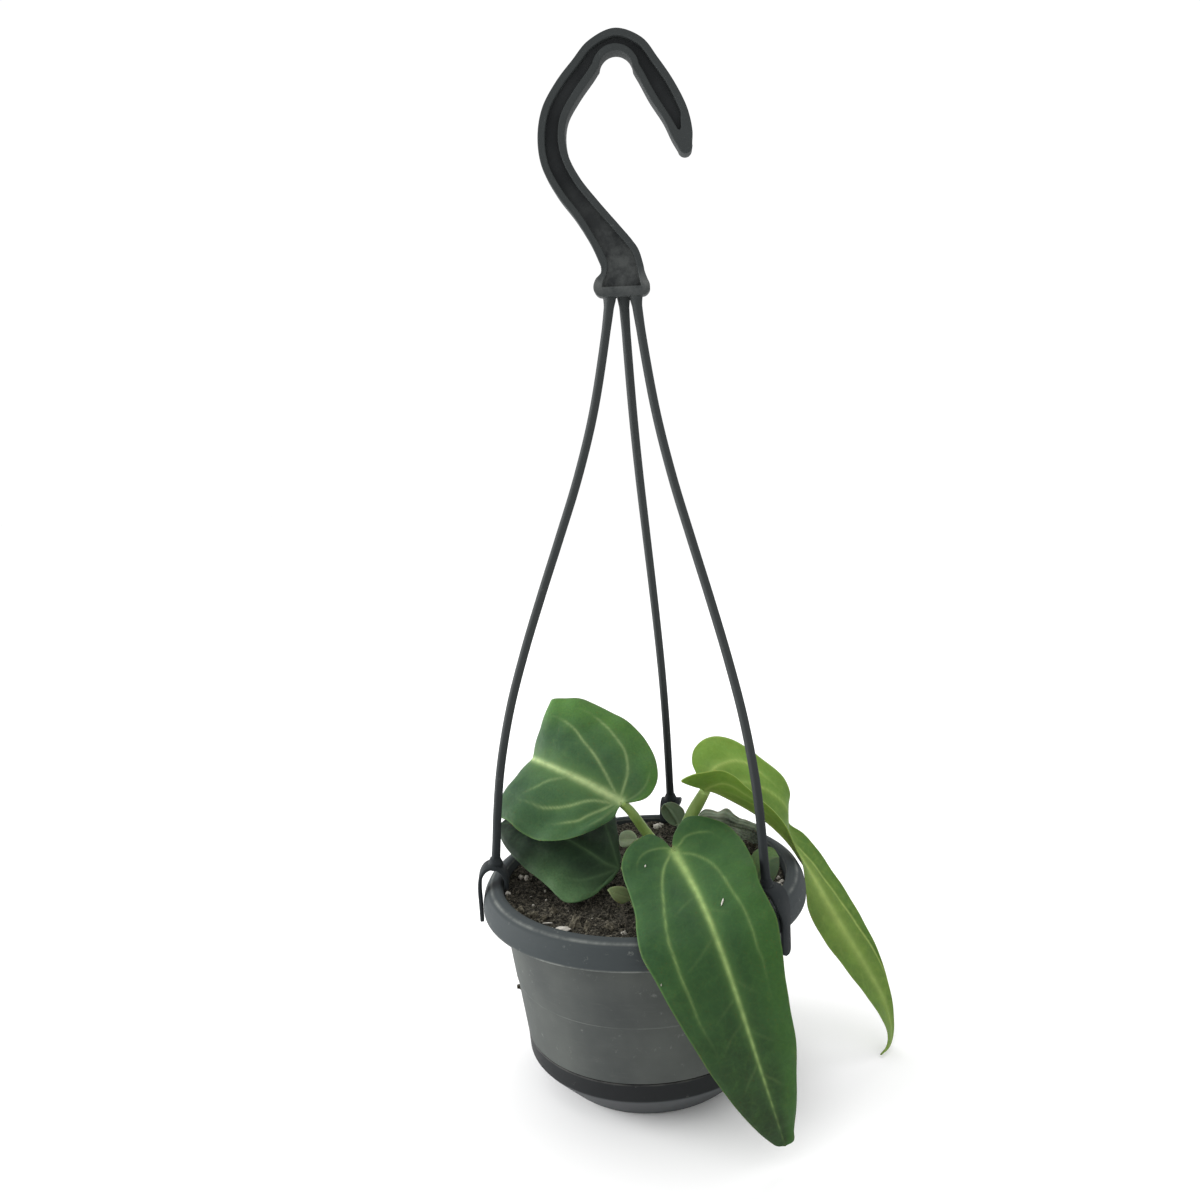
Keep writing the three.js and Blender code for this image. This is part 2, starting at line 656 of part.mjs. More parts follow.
// Crown and petioles, grown together; each entry is a route and its radii
const CROWN = { route: [[10, 5, 62], [10, 5, 70], [10, 5, 79], [10, 4, 85]], radii: [5, 6, 6, 4] };
const PETIOLES = [
  { route: [[9, 4, 80], [6, 3, 87], [1, 1.2, 95.5], [-4, -2.4, 105], [-6.7, -5, 109.1]],
    radii: [2.6, 2.1, 2, 1.6, 1.1] },
  { route: [[8, 3, 79], [3, -1, 83.5], [-3, -4.6, 83.8], [-8.1, -6.9, 83.5]],
    radii: [2.4, 1.9, 1.6, 1.1] },
  { route: [[10, 3, 80], [10, -5, 86.8], [10.3, -12, 90.8], [10.8, -18, 93.7], [11.6, -22.8, 95.8]],
    radii: [2.6, 1.9, 1.7, 1.5, 1.1] },
  { route: [[12, 6, 80], [15.5, 6.5, 90], [19.5, 7, 99], [22.8, 5, 105.5], [24.9, 2.3, 109.6]],
    radii: [3, 2.7, 2.6, 2.4, 1.3] },
];

// Stalks of the small leaves, each standing in its own hole in the soil
const STALKS = {
  e: { route: [[38, -22, 68], [39, -23.4, 76], [41.7, -26, 82.6]], radii: [0.9, 0.9, 0.8] },
  back: { route: [[14.8, 44, 68], [14.5, 45.6, 75], [14.1, 47, 79.5]], radii: [0.9, 0.9, 0.8] },
  withered: { route: [[19, 29, 68], [20, 30, 77], [23.5, 32, 85.2]], radii: [1, 1, 0.9] },
  sheath: { route: [[0.2, 3.4, 68], [-0.4, 3.2, 80], [-2.6, 3, 91.3]], radii: [1, 1, 0.8] },
  young: { route: [[-3, -24, 68], [-3.4, -24.6, 76], [-4.7, -26, 81]], radii: [0.9, 0.9, 0.8] },
  twig: { route: [[8.5, 19.5, 70], [9.2, 20, 77], [12.6, 20.5, 83]], radii: [0.8, 0.8, 0.6] },
};

function widened(points, radius) {
  const [first, second] = points;
  const start = [first[0], first[1], first[2] - GAP - 0.1];
  return limb([start, second, points[2]], [radius, radius], 8, 10);
}

function soilWithHoles() {
  const clear = [[CROWN.route[0][0], CROWN.route[0][1], 7]];
  Object.values(STALKS).forEach(({ route }) => clear.push([route[1][0], route[1][1], 1.6]));
  let soil = join([soilGeometry(), ...crumbs(clear)]);
  const crownHole = new THREE.CylinderGeometry(6.5, 6.5, 30, 24);
  crownHole.rotateX(Math.PI / 2);
  crownHole.translate(10, 5, 61.6 + 15);
  soil = soil.subtract(solid(crownHole));
  Object.values(STALKS).forEach(({ route }) => {
    soil = soil.subtract(solid(widened(route, 1.45)));
  });
  return toGeometry(soil);
}

function stemsGeometry() {
  const crown = limb(CROWN.route, CROWN.radii, 8, 12);
  const petioles = PETIOLES.map(({ route, radii }) => limb(route, radii, 12, 8));
  return toGeometry(join([crown, ...petioles]));
}

function stalkedLeaf(leaf, stalk) {
  return toGeometry(join([blade(leaf), limb(stalk.route, stalk.radii, 8, 6)]));
}

// Assembly
const part = new THREE.Group();
part.name = 'potted_anthurium_villenaorum';

function add(name, geometry, look) {
  const mesh = new THREE.Mesh(geometry, new THREE.MeshStandardMaterial({ ...look, name: `${name}_look` }));
  mesh.name = name;
  part.add(mesh);
}

add('pot', potGeometry(), GREY);
add('saucer', saucerGeometry(), DARK);
add('soil', soilWithHoles(), EARTH);
add('hook', hookGeometry(), BLACK);
add('strand_left', strandGeometry('left'), BLACK);
add('strand_right', strandGeometry('right'), BLACK);
add('strand_back', strandGeometry('back'), BLACK);
add('stems', stemsGeometry(), STEM);
add('leaf_a', blade(LEAF_A), VELVET);
add('leaf_b', blade(LEAF_B), SHADED);
add('leaf_c', blade(LEAF_C), VELVET);
add('leaf_d', blade(LEAF_D), YOUNG);
add('leaf_e', stalkedLeaf(LEAF_E, STALKS.e), DULL);
add('leaf_back', stalkedLeaf(LEAF_BACK, STALKS.back), DULL);
add('leaf_withered', stalkedLeaf(LEAF_WITHERED, STALKS.withered), PAPERY);
add('leaf_sheath', stalkedLeaf(LEAF_SHEATH, STALKS.sheath), DULL);
add('leaf_young', stalkedLeaf(LEAF_YOUNG, STALKS.young), YOUNG);
add('twig', limb(STALKS.twig.route, STALKS.twig.radii, 6, 6), TWIG);

export default part;
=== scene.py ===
import math
import bpy
import bmesh
import numpy as np
from mathutils import Matrix, Vector


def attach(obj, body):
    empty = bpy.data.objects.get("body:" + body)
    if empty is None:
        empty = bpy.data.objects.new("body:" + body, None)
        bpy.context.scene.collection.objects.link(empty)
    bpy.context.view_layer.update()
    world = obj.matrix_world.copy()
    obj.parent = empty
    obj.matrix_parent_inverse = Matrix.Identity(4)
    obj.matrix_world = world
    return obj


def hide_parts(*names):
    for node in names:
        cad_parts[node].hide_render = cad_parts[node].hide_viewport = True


# Potted anthurium villenaorum: the look of the part, in metres, in the CAD frame.
# Lengths in the tables and helpers below are millimetres, turned into metres by MM.
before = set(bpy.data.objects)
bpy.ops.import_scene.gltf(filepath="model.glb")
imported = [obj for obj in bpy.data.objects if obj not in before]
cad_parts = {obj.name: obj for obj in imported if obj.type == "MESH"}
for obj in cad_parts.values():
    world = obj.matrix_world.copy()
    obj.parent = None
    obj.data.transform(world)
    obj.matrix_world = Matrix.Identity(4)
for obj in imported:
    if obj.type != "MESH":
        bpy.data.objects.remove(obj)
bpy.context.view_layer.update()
MM = 0.001


# Curves: the same centripetal spline as the solids
def spline(points, steps=24):
    p = np.array(points, float)
    p = np.vstack([2 * p[0] - p[1], p, 2 * p[-1] - p[-2]])
    t = np.linspace(0, 1, steps, endpoint=False)[:, None]
    out = []
    for p0, p1, p2, p3 in zip(p, p[1:], p[2:], p[3:]):
        spans = ((p0, p1), (p1, p2), (p2, p3))
        d0, d1, d2 = (max(np.linalg.norm(b - a), 1e-9) ** 0.5 for a, b in spans)
        t1 = ((p1 - p0) / d0 - (p2 - p0) / (d0 + d1) + (p2 - p1) / d1) * d1
        t2 = ((p2 - p1) / d1 - (p3 - p1) / (d1 + d2) + (p3 - p2) / d2) * d1
        cube, square = 2 * p1 - 2 * p2 + t1 + t2, 3 * p2 - 3 * p1 - 2 * t1 - t2
        out.append(cube * t ** 3 + square * t ** 2 + t1 * t + p1)
    return np.vstack([*out, p[-2]])


def along(line, share):
    """Points of a polyline at these shares of its length."""
    step = np.linalg.norm(np.diff(line, axis=0), axis=1)
    length = np.concatenate([[0], np.cumsum(step)])
    return np.stack([np.interp(share * length[-1], length, column) for column in line.T], -1)


def unit(v):
    return v / np.maximum(np.linalg.norm(v, axis=-1, keepdims=True), 1e-12)


def smooth(x, low, high):
    t = np.clip((x - low) / (high - low), 0, 1)
    return t * t * (3 - 2 * t)


def circle(count):
    """Angles all round."""
    return np.linspace(0, 2 * math.pi, count, endpoint=False)


# Objects and meshes
JOIN_DISTANCE = 1e-7
EMPTY_EDGE = 1e-8
LATHE_SEGMENTS = 256
SHORT_SIDE = 0.45
SEAM_SIDE = [0.3, 1, 0.1]
START_BULGE = 0.25
END_BULGE = 0.35


def placed(name, data):
    obj = bpy.data.objects.new(name, data)
    bpy.context.collection.objects.link(obj)
    return obj


def piece(name, verts, faces, material, slot, node, attributes=None, flat=False):
    """A mesh with joined points, no empty faces and all faces turned outward, as a piece of the part."""
    mesh = bpy.data.meshes.new(name)
    mesh.from_pydata((np.asarray(verts) * MM).tolist(), [], [list(f) for f in faces])
    for key, values in (attributes or {}).items():
        layer = mesh.attributes.new(key, "FLOAT", "POINT")
        layer.data.foreach_set("value", np.asarray(values, np.float32))
    mesh.polygons.foreach_set("use_smooth", [not flat] * len(mesh.polygons))
    mesh.materials.append(material)
    bm = bmesh.new()
    bm.from_mesh(mesh)
    bmesh.ops.remove_doubles(bm, verts=bm.verts, dist=JOIN_DISTANCE)
    bmesh.ops.dissolve_degenerate(bm, edges=bm.edges, dist=EMPTY_EDGE)
    bmesh.ops.recalc_face_normals(bm, faces=bm.faces)
    bm.to_mesh(mesh)
    bm.free()
    obj = placed(name, mesh)
    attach(obj, "root")
    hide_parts(node)
    return obj


def grid_faces(rows, cols, wrap=False):
    """Quads of a grid whose points are listed row by row; wrap closes each row."""
    quads = []
    for i in range(rows - 1):
        for j in range(cols if wrap else cols - 1):
            k = (j + 1) % cols
            quads.append((i * cols + j, i * cols + k, (i + 1) * cols + k, (i + 1) * cols + j))
    return quads


def merged(parts):
    """Several (points, faces) as one."""
    verts, faces, count = [], [], 0
    for v, f in parts:
        verts.append(v)
        faces += [tuple(i + count for i in face) for face in f]
        count += len(v)
    return np.vstack(verts), faces


def lathe(name, profile, material, slot, node):
    """A closed solid of revolution round Z; the profile starts and ends on the axis."""
    ring = circle(LATHE_SEGMENTS)
    r, z = profile.T
    x, y = np.outer(r, np.cos(ring)), np.outer(r, np.sin(ring))
    verts = np.stack([x, y, np.outer(z, np.ones(LATHE_SEGMENTS))], -1).reshape(-1, 3)
    piece(name, verts, grid_faces(len(profile), LATHE_SEGMENTS, wrap=True), material, slot, node)


def rounded(profile, radius, steps=4):
    """A profile with its inner corners turned into small arcs."""
    p = np.array(profile, float)
    out = [p[0]]
    for a, b, c in zip(p, p[1:], p[2:]):
        reach = min(radius, SHORT_SIDE * np.linalg.norm(a - b), SHORT_SIDE * np.linalg.norm(c - b))
        start, end = b + unit(a - b) * reach, b + unit(c - b) * reach
        for t in np.linspace(0, 1, steps + 1):
            out.append((1 - t) ** 2 * start + 2 * t * (1 - t) * b + t * t * end)
    return np.array([*out, p[-1]])


def sweep(route, radii, rings, sides, section=None):
    """Points and faces of a capped tube; section(angle) scales its radius."""
    share = np.linspace(0, 1, rings)
    centre = along(spline(route), share)
    tangent = unit(np.gradient(centre, axis=0))
    radius = np.interp(share, np.linspace(0, 1, len(radii)), radii)
    normal = np.zeros_like(centre)
    normal[0] = unit(np.cross(tangent[0], SEAM_SIDE))
    for i in range(1, rings):
        normal[i] = unit(normal[i - 1] - tangent[i] * (normal[i - 1] @ tangent[i]))
    binormal = np.cross(tangent, normal)
    angle = circle(sides)
    scale = 1 if section is None else section(angle)
    c, s = (np.cos(angle) * scale)[:, None], (np.sin(angle) * scale)[:, None]
    around = normal[:, None] * c + binormal[:, None] * s
    tube = (centre[:, None] + radius[:, None, None] * around).reshape(-1, 3)
    start = centre[0] - tangent[0] * radius[0] * START_BULGE
    end = centre[-1] + tangent[-1] * radius[-1] * END_BULGE
    faces = grid_faces(rings, sides, wrap=True)
    base, last = len(tube), (rings - 1) * sides
    for j in range(sides):
        k = (j + 1) % sides
        faces += [(base, k, j), (base + 1, last + j, last + k)]
    return np.vstack([tube, start, end]), faces


# Node materials: colour layers laid one over the other
class Nodes:
    def __init__(self, name, colour=None):
        self.colour = colour
        self.material = bpy.data.materials.new(name)
        self.material.use_nodes = True
        self.tree = self.material.node_tree
        self.shader = self.tree.nodes["Principled BSDF"]
        self.where = self.node("TexCoord", "Object")

    def node(self, kind, output, inputs=None, **settings):
        """A node with these settings and these inputs, named or numbered; gives its output."""
        node = self.tree.nodes.new("ShaderNode" + kind)
        for key, value in settings.items():
            setattr(node, key, value)
        for key, value in (inputs or {}).items():
            self.feed(node.inputs[key], value)
        return node.outputs[output]

    def feed(self, socket, value):
        """A number, a colour, a vector or the output of another node into a socket."""
        if isinstance(value, (int, float)):
            socket.default_value = value
        elif isinstance(value, tuple):
            socket.default_value = (*value, 1)[:len(socket.default_value)]
        else:
            self.tree.links.new(value, socket)

    def noise(self, scale, detail=4, rough=0.55, stretch=None):
        place = self.where
        if stretch:
            place = self.node("Mapping", "Vector", {"Vector": place, "Scale": stretch})
        inputs = {"Scale": scale, "Detail": detail, "Roughness": rough, "Vector": place}
        return self.node("TexNoise", "Fac", inputs)

    def cells(self, scale):
        """Distance to the nearest border between cells."""
        inputs = {"Scale": scale, "Vector": self.where}
        return self.node("TexVoronoi", "Distance", inputs, feature="DISTANCE_TO_EDGE")

    def axis(self, letter):
        return self.node("SeparateXYZ", letter, {0: self.where})

    def value(self, key):
        return self.node("Attribute", "Fac", attribute_name=key)

    def ramp(self, factor, stops):
        node = self.tree.nodes.new("ShaderNodeValToRGB")
        band = node.color_ramp
        while len(band.elements) < len(stops):
            band.elements.new(0.5)
        for element, (place, colour) in zip(band.elements, stops):
            element.position, element.color = place, (*tone(colour), 1)
        self.feed(node.inputs["Fac"], factor)
        return node.outputs["Color"]

    def fade(self, factor, low, high, out_low=0, out_high=1):
        return self.node("MapRange", "Result", dict(enumerate((factor, low, high, out_low, out_high))))

    def math(self, how, a, b=0):
        return self.node("Math", "Value", {0: a, 1: b}, operation=how)

    def times(self, a, b):
        return self.math("MULTIPLY", a, b)

    def plus(self, a, b, share):
        """a and this share of b."""
        return self.math("ADD", a, self.times(b, share))

    def mix(self, factor, a, b):
        return self.node("Mix", 2, {0: factor, 6: a, 7: b}, data_type="RGBA")

    def lay(self, top, amount):
        self.colour = self.mix(amount, self.colour, top)

    def over(self, top, factor, low, high, at_high=1, at_low=0):
        """Lays top over the colour, by an amount that follows the factor from low to high."""
        self.lay(top, self.fade(factor, low, high, at_low, at_high))

    def bump(self, height, distance, strength):
        inputs = {"Strength": strength, "Distance": distance * MM, "Height": height}
        return self.node("Bump", "Normal", inputs)

    def done(self, rough, normal=None, **more):
        inputs = {"Base Color": self.colour, "Roughness": rough, "Normal": normal, **more}
        for key, value in inputs.items():
            if value is not None:
                self.feed(self.shader.inputs[key.replace("_", " ")], value)
        return self.material


def tone(colour):
    """A colour given in 0 to 255 screen values."""
    return tuple(c / 255 / 12.92 if c <= 10 else ((c / 255 + 0.055) / 1.055) ** 2.4 for c in colour)


# that half gets a colour of its own, which on leaves B, D and E is painted light.
# Leaves: mid, left and right are the solids' guide curves from stalk to tip, in places drawn closer to
# the photo. lobe: share of the margins behind the stalk; laterals: side veins on each half.
# veins: (half, strength, [(percent of the length, percent of the width), ...]).
# tint and light: (direction toward one half, from and to across its width, from and to along it).
# fold: (crease as (length, width) shares of the left half, (begin, end) along it).
LEFT, RIGHT = 0, 1
COMMON = dict(
    cup=0.4, wave=0, puff=0.15, pleats=0, laterals=0, side=0.2, halo=2.6, rib=(0.9, 0.7, 0.5, 0.3),
    rib_pale=1, rib_fade=(1, 0.9, 0.8, 0.45, 0.3), tint=None, fold=None, veins=())
LEAF_A = dict(
    node="leaf_a", lobe=0.24, cup=1.2, wave=0.35, puff=0.3, halo=3.2, rib=(1.9, 1.5, 1.1, 0.7),
    tint=((1, 0, 1), 0.35, 0.95, 0.9, 0.6),
    mid=[(-7.4, -6, 110.3), (-15.3, -4, 114.8), (-25, 1, 118.6), (-34.4, 8, 120.7), (-42, 17, 121),
        (-44.5, 34, 115), (-49, 48, 101), (-52, 58, 86)],
    left=[(-5.5, -6, 109.9), (-0.6, -6, 110.4), (2.9, -4, 111.1), (6.1, 0, 114.4), (7, 3, 118.1),
        (5.4, 9, 124.3), (0.5, 15, 130.8), (-5.4, 19, 135.3), (-12.5, 23, 138.6), (-21.9, 27, 142.1),
        (-28.6, 30, 142.4), (-35, 33, 141.5), (-36.6, 45, 132.5), (-40.5, 57, 120.5), (-47, 63, 105)],
    right=[(-8.1, -8, 109.5), (-10.1, -10, 106), (-15.1, -12, 103.5), (-21.5, -14, 101.4),
        (-27.9, -14, 99.7), (-35, -12, 98.4), (-40.9, -9, 98.2), (-47.4, -5, 100.5), (-51.5, -1.5, 103),
        (-55, 1.5, 103.6), (-57.2, 5, 104.8), (-56.6, 11, 105.4), (-56, 24, 101), (-56, 37, 96),
        (-54, 50, 90)],
    veins=[
        (LEFT, 0.9, [(24.5, 2), (25.4, 43), (27.9, 60), (30.4, 67), (35.8, 78), (40, 83), (50, 86)]),
        (LEFT, 0.9, [(25.4, 3), (32.9, 27), (36.7, 38), (40, 45), (43.3, 55), (48.3, 65), (56, 75)]),
        (LEFT, 0.3, [(5, 5), (9.2, 47), (13.3, 72), (17, 84)]),
        (RIGHT, 0.9, [(25, 8), (29.6, 18), (32.9, 38), (35.8, 50), (38.8, 58), (42.9, 62), (50, 70)]),
        (RIGHT, 0.9, [(24.4, 2), (24.6, 12), (25, 23), (26.2, 42), (26.7, 55), (28.8, 62), (31.2, 70),
            (36, 78)]),
        (RIGHT, 0.3, [(10, 5), (12, 40), (16, 65), (21, 80)]),
        (RIGHT, 0.5, [(41.7, 7), (44.6, 23), (45.8, 40), (48, 60)])])
LEAF_B = dict(
    node="leaf_b", lobe=0.24, cup=0.8, wave=0.3, puff=0.3, laterals=6, side=0.1, rib=(0.8, 0.7, 0.5, 0.3),
    rib_pale=0.5, tint=((0, -1, -1), 0.3, 1, 0.75, 0.4),
    mid=[(-9.4, -8, 84.3), (-14.2, -9, 87), (-20.2, -7, 90.8), (-28.8, -2, 94.4), (-38.3, 5, 96.1),
        (-48.8, 11, 96.7), (-57.4, 15, 95.5)],
    left=[(-9, -6, 85.8), (-8.7, -2, 87.3), (-9.9, 2, 89.4), (-10.7, 8, 92.8), (-11.1, 14, 97.2),
        (-13.9, 18, 100.4), (-21.3, 21, 102.2), (-31.5, 22, 102.7), (-41.6, 21, 101.4), (-51.7, 19, 98.8)],
    right=[(-10.1, -10, 83.6), (-12.3, -14, 82.3), (-14.8, -18, 81.8), (-19.5, -23, 80.4),
        (-24.5, -25, 79.6), (-28.7, -24, 79.3), (-32.2, -21, 80.4), (-36.6, -16, 82.7), (-45.3, -8, 86.3),
        (-51.3, -1, 89.3), (-54.6, 4, 91.1), (-56.9, 10, 92.9)],
    veins=[
        (LEFT, 0.7, [(24, 2), (30, 35), (38, 60), (50, 75)]),
        (RIGHT, 0.7, [(24, 2), (30, 35), (38, 60), (50, 75)]),
        (RIGHT, 0.6, [(10, 5), (14, 45), (20, 75)])])
LEAF_C = dict(
    node="leaf_c", lobe=0.2, cup=0.6, wave=0.2, puff=0.35, rib=(1.8, 1.25, 0.7, 0.3),
    rib_fade=(1, 0.85, 0.66, 0.28, 0.08), tint=((1, 0, 0), 0.1, 0.9, 0.1, 0.4),
    mid=[(11.9, -24, 97), (17.3, -37.2, 91.4), (21.6, -51.2, 86.9), (25.7, -63.9, 79.6),
        (30.1, -71.5, 67.2), (34.2, -73.8, 52.6), (38, -73.2, 37.8), (41.7, -71.1, 23.1),
        (45.2, -68, 8.5)],
    left=[(10.6, -23.1, 97.5), (4.1, -16.5, 101.1), (-0.5, -17, 100.2), (-5.3, -20.4, 97.4),
        (-7.3, -24.6, 94.3), (-6.8, -29.9, 90.8), (-4.4, -38.2, 87.3), (-2.4, -48.2, 84.4),
        (-2, -56.4, 82.8), (-0.3, -66, 78.5), (3.9, -71.8, 73.2), (8.2, -75.6, 65.8), (14.5, -77.8, 54.6),
        (21.8, -77.6, 40.7), (32.2, -73.9, 22.7), (39.4, -70.4, 12.5), (42.4, -69.2, 9.4)],
    right=[(12, -22.6, 98), (11.6, -20.5, 99.3), (13, -16.4, 102.3), (16.6, -12.5, 105.3),
        (20.3, -12.3, 105.9), (26.1, -14.1, 105.4), (31.5, -16.9, 104.1), (36, -23, 101.4),
        (38.6, -31, 99.2), (40.3, -39, 97), (41.1, -46.1, 93.8), (45.5, -57.9, 86.2), (46.2, -63.7, 79.3),
        (47.7, -69.5, 61.8), (49.5, -70.2, 49.2), (49.5, -70, 36.9), (49.4, -69.2, 26.7),
        (48.4, -67.9, 14.2), (48.2, -67.9, 10.2)],
    veins=[
        (RIGHT, 0.55, [(19, 1), (21.2, 7), (23.8, 25), (29.2, 42), (36.7, 50), (42.9, 57), (48.3, 57),
            (52.5, 58), (55.4, 62), (60.8, 63), (68, 68)]),
        (LEFT, 0.8, [(19, 1), (21.2, 13), (23.8, 30), (27.1, 42), (32.5, 52), (40, 58), (47.5, 63),
            (52.5, 67), (56.7, 68), (62.1, 72), (67.9, 70), (74, 75)]),
        (LEFT, 0.4, [(6, 3), (9.6, 20), (13.3, 40), (15.4, 55), (18.3, 68), (25, 80)]),
        (RIGHT, 0.4, [(10, 3), (13.3, 17), (12.9, 38), (15, 52), (17.5, 62), (20.4, 70), (26, 80)]),
        (RIGHT, 0.12, [(40, 0), (42, 20), (45, 45)]),
        (RIGHT, 0.14, [(57, 0), (57.5, 7), (60, 28), (62.5, 53)]),
        (RIGHT, 0.12, [(68, 0), (70.5, 30), (73, 60)]),
        (RIGHT, 0.17, [(79, 0), (81, 30), (83.5, 60)]),
        (LEFT, 0.14, [(47.1, 0), (49.2, 20), (51.2, 43), (52.1, 62)]),
        (LEFT, 0.14, [(60, 0), (60.8, 8), (62.5, 33), (64.2, 58)]),
        (LEFT, 0.12, [(65.8, 0), (67.9, 37), (71.2, 68)]),
        (LEFT, 0.17, [(76, 0), (78.5, 35), (81, 65)]),
        (LEFT, 0.17, [(35, 0), (37, 25), (40, 50)])])
LEAF_D = dict(
    node="leaf_d", lobe=0.14, cup=0, puff=0.2, laterals=8, side=0.1, halo=3.6, rib=(1.2, 1.3, 1.9, 0.9),
    rib_fade=(0.8, 0.5, 0.36, 0.32, 0.3), tint=((0, 1, 1), 0.1, 0.8, 0.42, 0.2),
    fold=([(0.42, 0.38), (0.55, 0.5), (0.68, 0.66), (0.84, 1)], (0.42, 0.86)),
    mid=[(24.9, 2, 110.8), (28.4, 2, 109.8), (35.7, 3, 105.4), (41.9, 4, 101.1), (47.3, 5, 96.7),
        (52.8, 6, 91.1), (57.9, 7, 84.6), (61.9, 8, 77.7), (66.9, 8, 69.4), (70.8, 8, 62), (74.5, 7, 54.6),
        (81.8, 6, 41.5), (87.9, 5, 30.4), (92.8, 4, 20.3), (95.4, 3, 12), (95.8, 0.5, 6),
        (94.7, -2.5, 2.8), (90.2, -6.9, 1)],
    left=[(24.3, 4, 112.5), (21.9, 8, 115.7), (20.5, 12, 119), (21.7, 17, 122.7), (25.5, 20, 125.3),
        (30.4, 22, 126.1), (36.5, 23, 124.3), (42.9, 24, 120.3), (48.1, 24, 115.8), (54.5, 24, 110.5),
        (58.3, 23, 105.9), (60.1, 22, 100.7), (59, 20, 95.5), (58.6, 18, 89.9), (64, 17, 85.5),
        (69.4, 16, 79.3), (74.2, 15, 71.8), (79.8, 14, 63), (84.4, 13, 54.7), (88.8, 11, 45.9),
        (93.6, 9, 35), (96.5, 6, 23.4), (97.9, 4.5, 13.2), (97.6, 2.5, 6.5), (95.9, -1, 2.6),
        (93, -5, 1.3)],
    right=[(23.3, -1, 112.7), (19, -7, 116.3), (15.7, -11, 119.4), (20.2, -13, 122.6), (25.8, -13, 123.1),
        (31.1, -12, 122.9), (35.9, -11, 120.4), (40.4, -9, 115.2), (45.1, -6, 109.5), (50.6, -3, 103.3),
        (55.4, 0, 95.5), (59.3, 2, 86.2), (62.4, 3, 77.4), (63.5, 4, 67.2), (64.1, 4, 58.7), (70, 2, 46.2),
        (75.6, 1, 37.9), (81.3, 0, 29.6), (87.6, -1, 20.6), (91.1, -1.5, 14.6), (94.1, -2, 8.5),
        (93.9, -3.5, 4.2), (92.3, -5.5, 1.9)],
    veins=[
        (LEFT, 1.2, [(14, 2), (15, 33), (17.5, 53), (21.7, 70), (25.4, 75), (29.2, 73), (36, 76)]),
        (LEFT, 0.8, [(14, 2), (20, 30), (28, 50), (38, 62), (50, 70)]),
        (RIGHT, 0.9, [(14, 2), (16, 35), (20, 60), (27, 72), (36, 78)]),
        (RIGHT, 0.5, [(14, 2), (22, 35), (32, 55), (44, 68)])])
LEAF_E = dict(
    node="leaf_e", lobe=0.15, laterals=3, rib=(1, 0.8, 0.5, 0.3), rib_pale=0.4, tint=((-1, 0, 1), 0, 0.2),
    mid=[(41.7, -26, 82.5), (43.9, -24, 87.7), (46.7, -22, 91.4), (50.7, -20, 91.5)],
    left=[(41, -25.6, 83.2), (39.3, -25, 86), (39.3, -23, 90.6), (41.4, -21, 94.3), (45.3, -19, 95.3),
        (48.6, -19, 94.7)],
    right=[(42.6, -25.8, 82.8), (44.4, -26, 82.6), (46.6, -25, 83), (48.6, -24, 85.2), (50.3, -22, 88.1)])
LEAF_BACK = dict(
    node="leaf_back", lobe=0.12, rib_pale=0.05,
    mid=[(14.1, 47, 79.2), (12.5, 47, 82.6), (10.5, 47, 86.2), (8.5, 46, 89.3)],
    left=[(13.5, 46.8, 79.4), (11.7, 46, 79.8), (9.9, 46, 81.1), (7.8, 46, 83.9), (7.1, 46, 87.1)],
    right=[(14.8, 47.1, 79.4), (16.4, 47.2, 80.2), (17.3, 48, 81.8), (17, 49, 85.1), (14.1, 49, 88),
        (11.1, 48, 89.4)])
LEAF_WITHERED = dict(
    node="leaf_withered", lobe=0.12, cup=-0.6, wave=0.5, puff=0.2, pleats=0.12, laterals=4,
    rib=(1, 0.8, 0.6, 0.3), rib_pale=0.4, tint=((0, 1, 1), 0.35, 0.6),
    mid=[(23.3, 32, 85.1), (28.3, 32, 85.8), (33.7, 31, 84.6), (38.9, 29, 83.4), (43.6, 25, 83),
        (48, 20, 81.8)],
    left=[(22.9, 32.8, 85.9), (23, 34.4, 87.6), (25.8, 37, 89.7), (30.8, 37, 88.6), (35.4, 36, 89.6),
        (38.5, 33, 87.6), (43.6, 29, 86.7), (47, 25, 86.4), (49.3, 20.8, 84.8)],
    right=[(23.3, 31, 84.7), (23.9, 28, 83.6), (27.9, 26, 82.9), (32.8, 25, 82.7), (37.6, 23, 82.4),
        (42.3, 20, 81.7), (45.7, 18.4, 80.8)])
LEAF_SHEATH = dict(
    node="leaf_sheath", lobe=0.15, laterals=2, rib_pale=0.3,
    mid=[(-2.5, 3, 91.4), (-5.6, 5, 90.9), (-8.1, 7, 90.2), (-9.4, 8.4, 90)],
    left=[(-2.3, 3.8, 92.3), (-4.3, 6.5, 93.5), (-6.6, 8, 93.3), (-8.8, 8.8, 92)],
    right=[(-3.2, 2.5, 90.8), (-5.6, 3.5, 88.6), (-7.7, 5, 87.6), (-9.2, 7, 88)])
LEAF_YOUNG = dict(
    node="leaf_young", lobe=0.15, cup=0.3, laterals=2, rib_pale=0.4,
    mid=[(-4.6, -26, 80.9), (-7.8, -27, 82.1), (-10.6, -28, 83.9), (-12.9, -28, 85.3)],
    left=[(-4.4, -25.5, 82.2), (-6.6, -25, 84.4), (-9.2, -25.5, 85.2), (-11.6, -27, 85.6)],
    right=[(-5, -27, 80.2), (-7.9, -28.5, 79.7), (-10.3, -29.5, 81.7), (-12, -29, 84)])


# Leaf blades: two halves of a ruled surface between the midrib and the margins
THICKNESS = 0.62
STEP_AHEAD = 0.004
RIPPLES = 46.2
RIB_POINTS = 160
RIB_PLACES = [0, 0.15, 0.6, 1]
RIB_FADE_PLACES = [0, 0.5, 0.72, 0.9, 1]
VEIN_HALF_WIDTHS = (0.52, 0.34)
VEIN_RELIEF = 0.22
VEIN_RELIEF_BELOW = 0.35
FIELDS = ("vein", "halo", "margin", "share", "strip", "tint", "under")


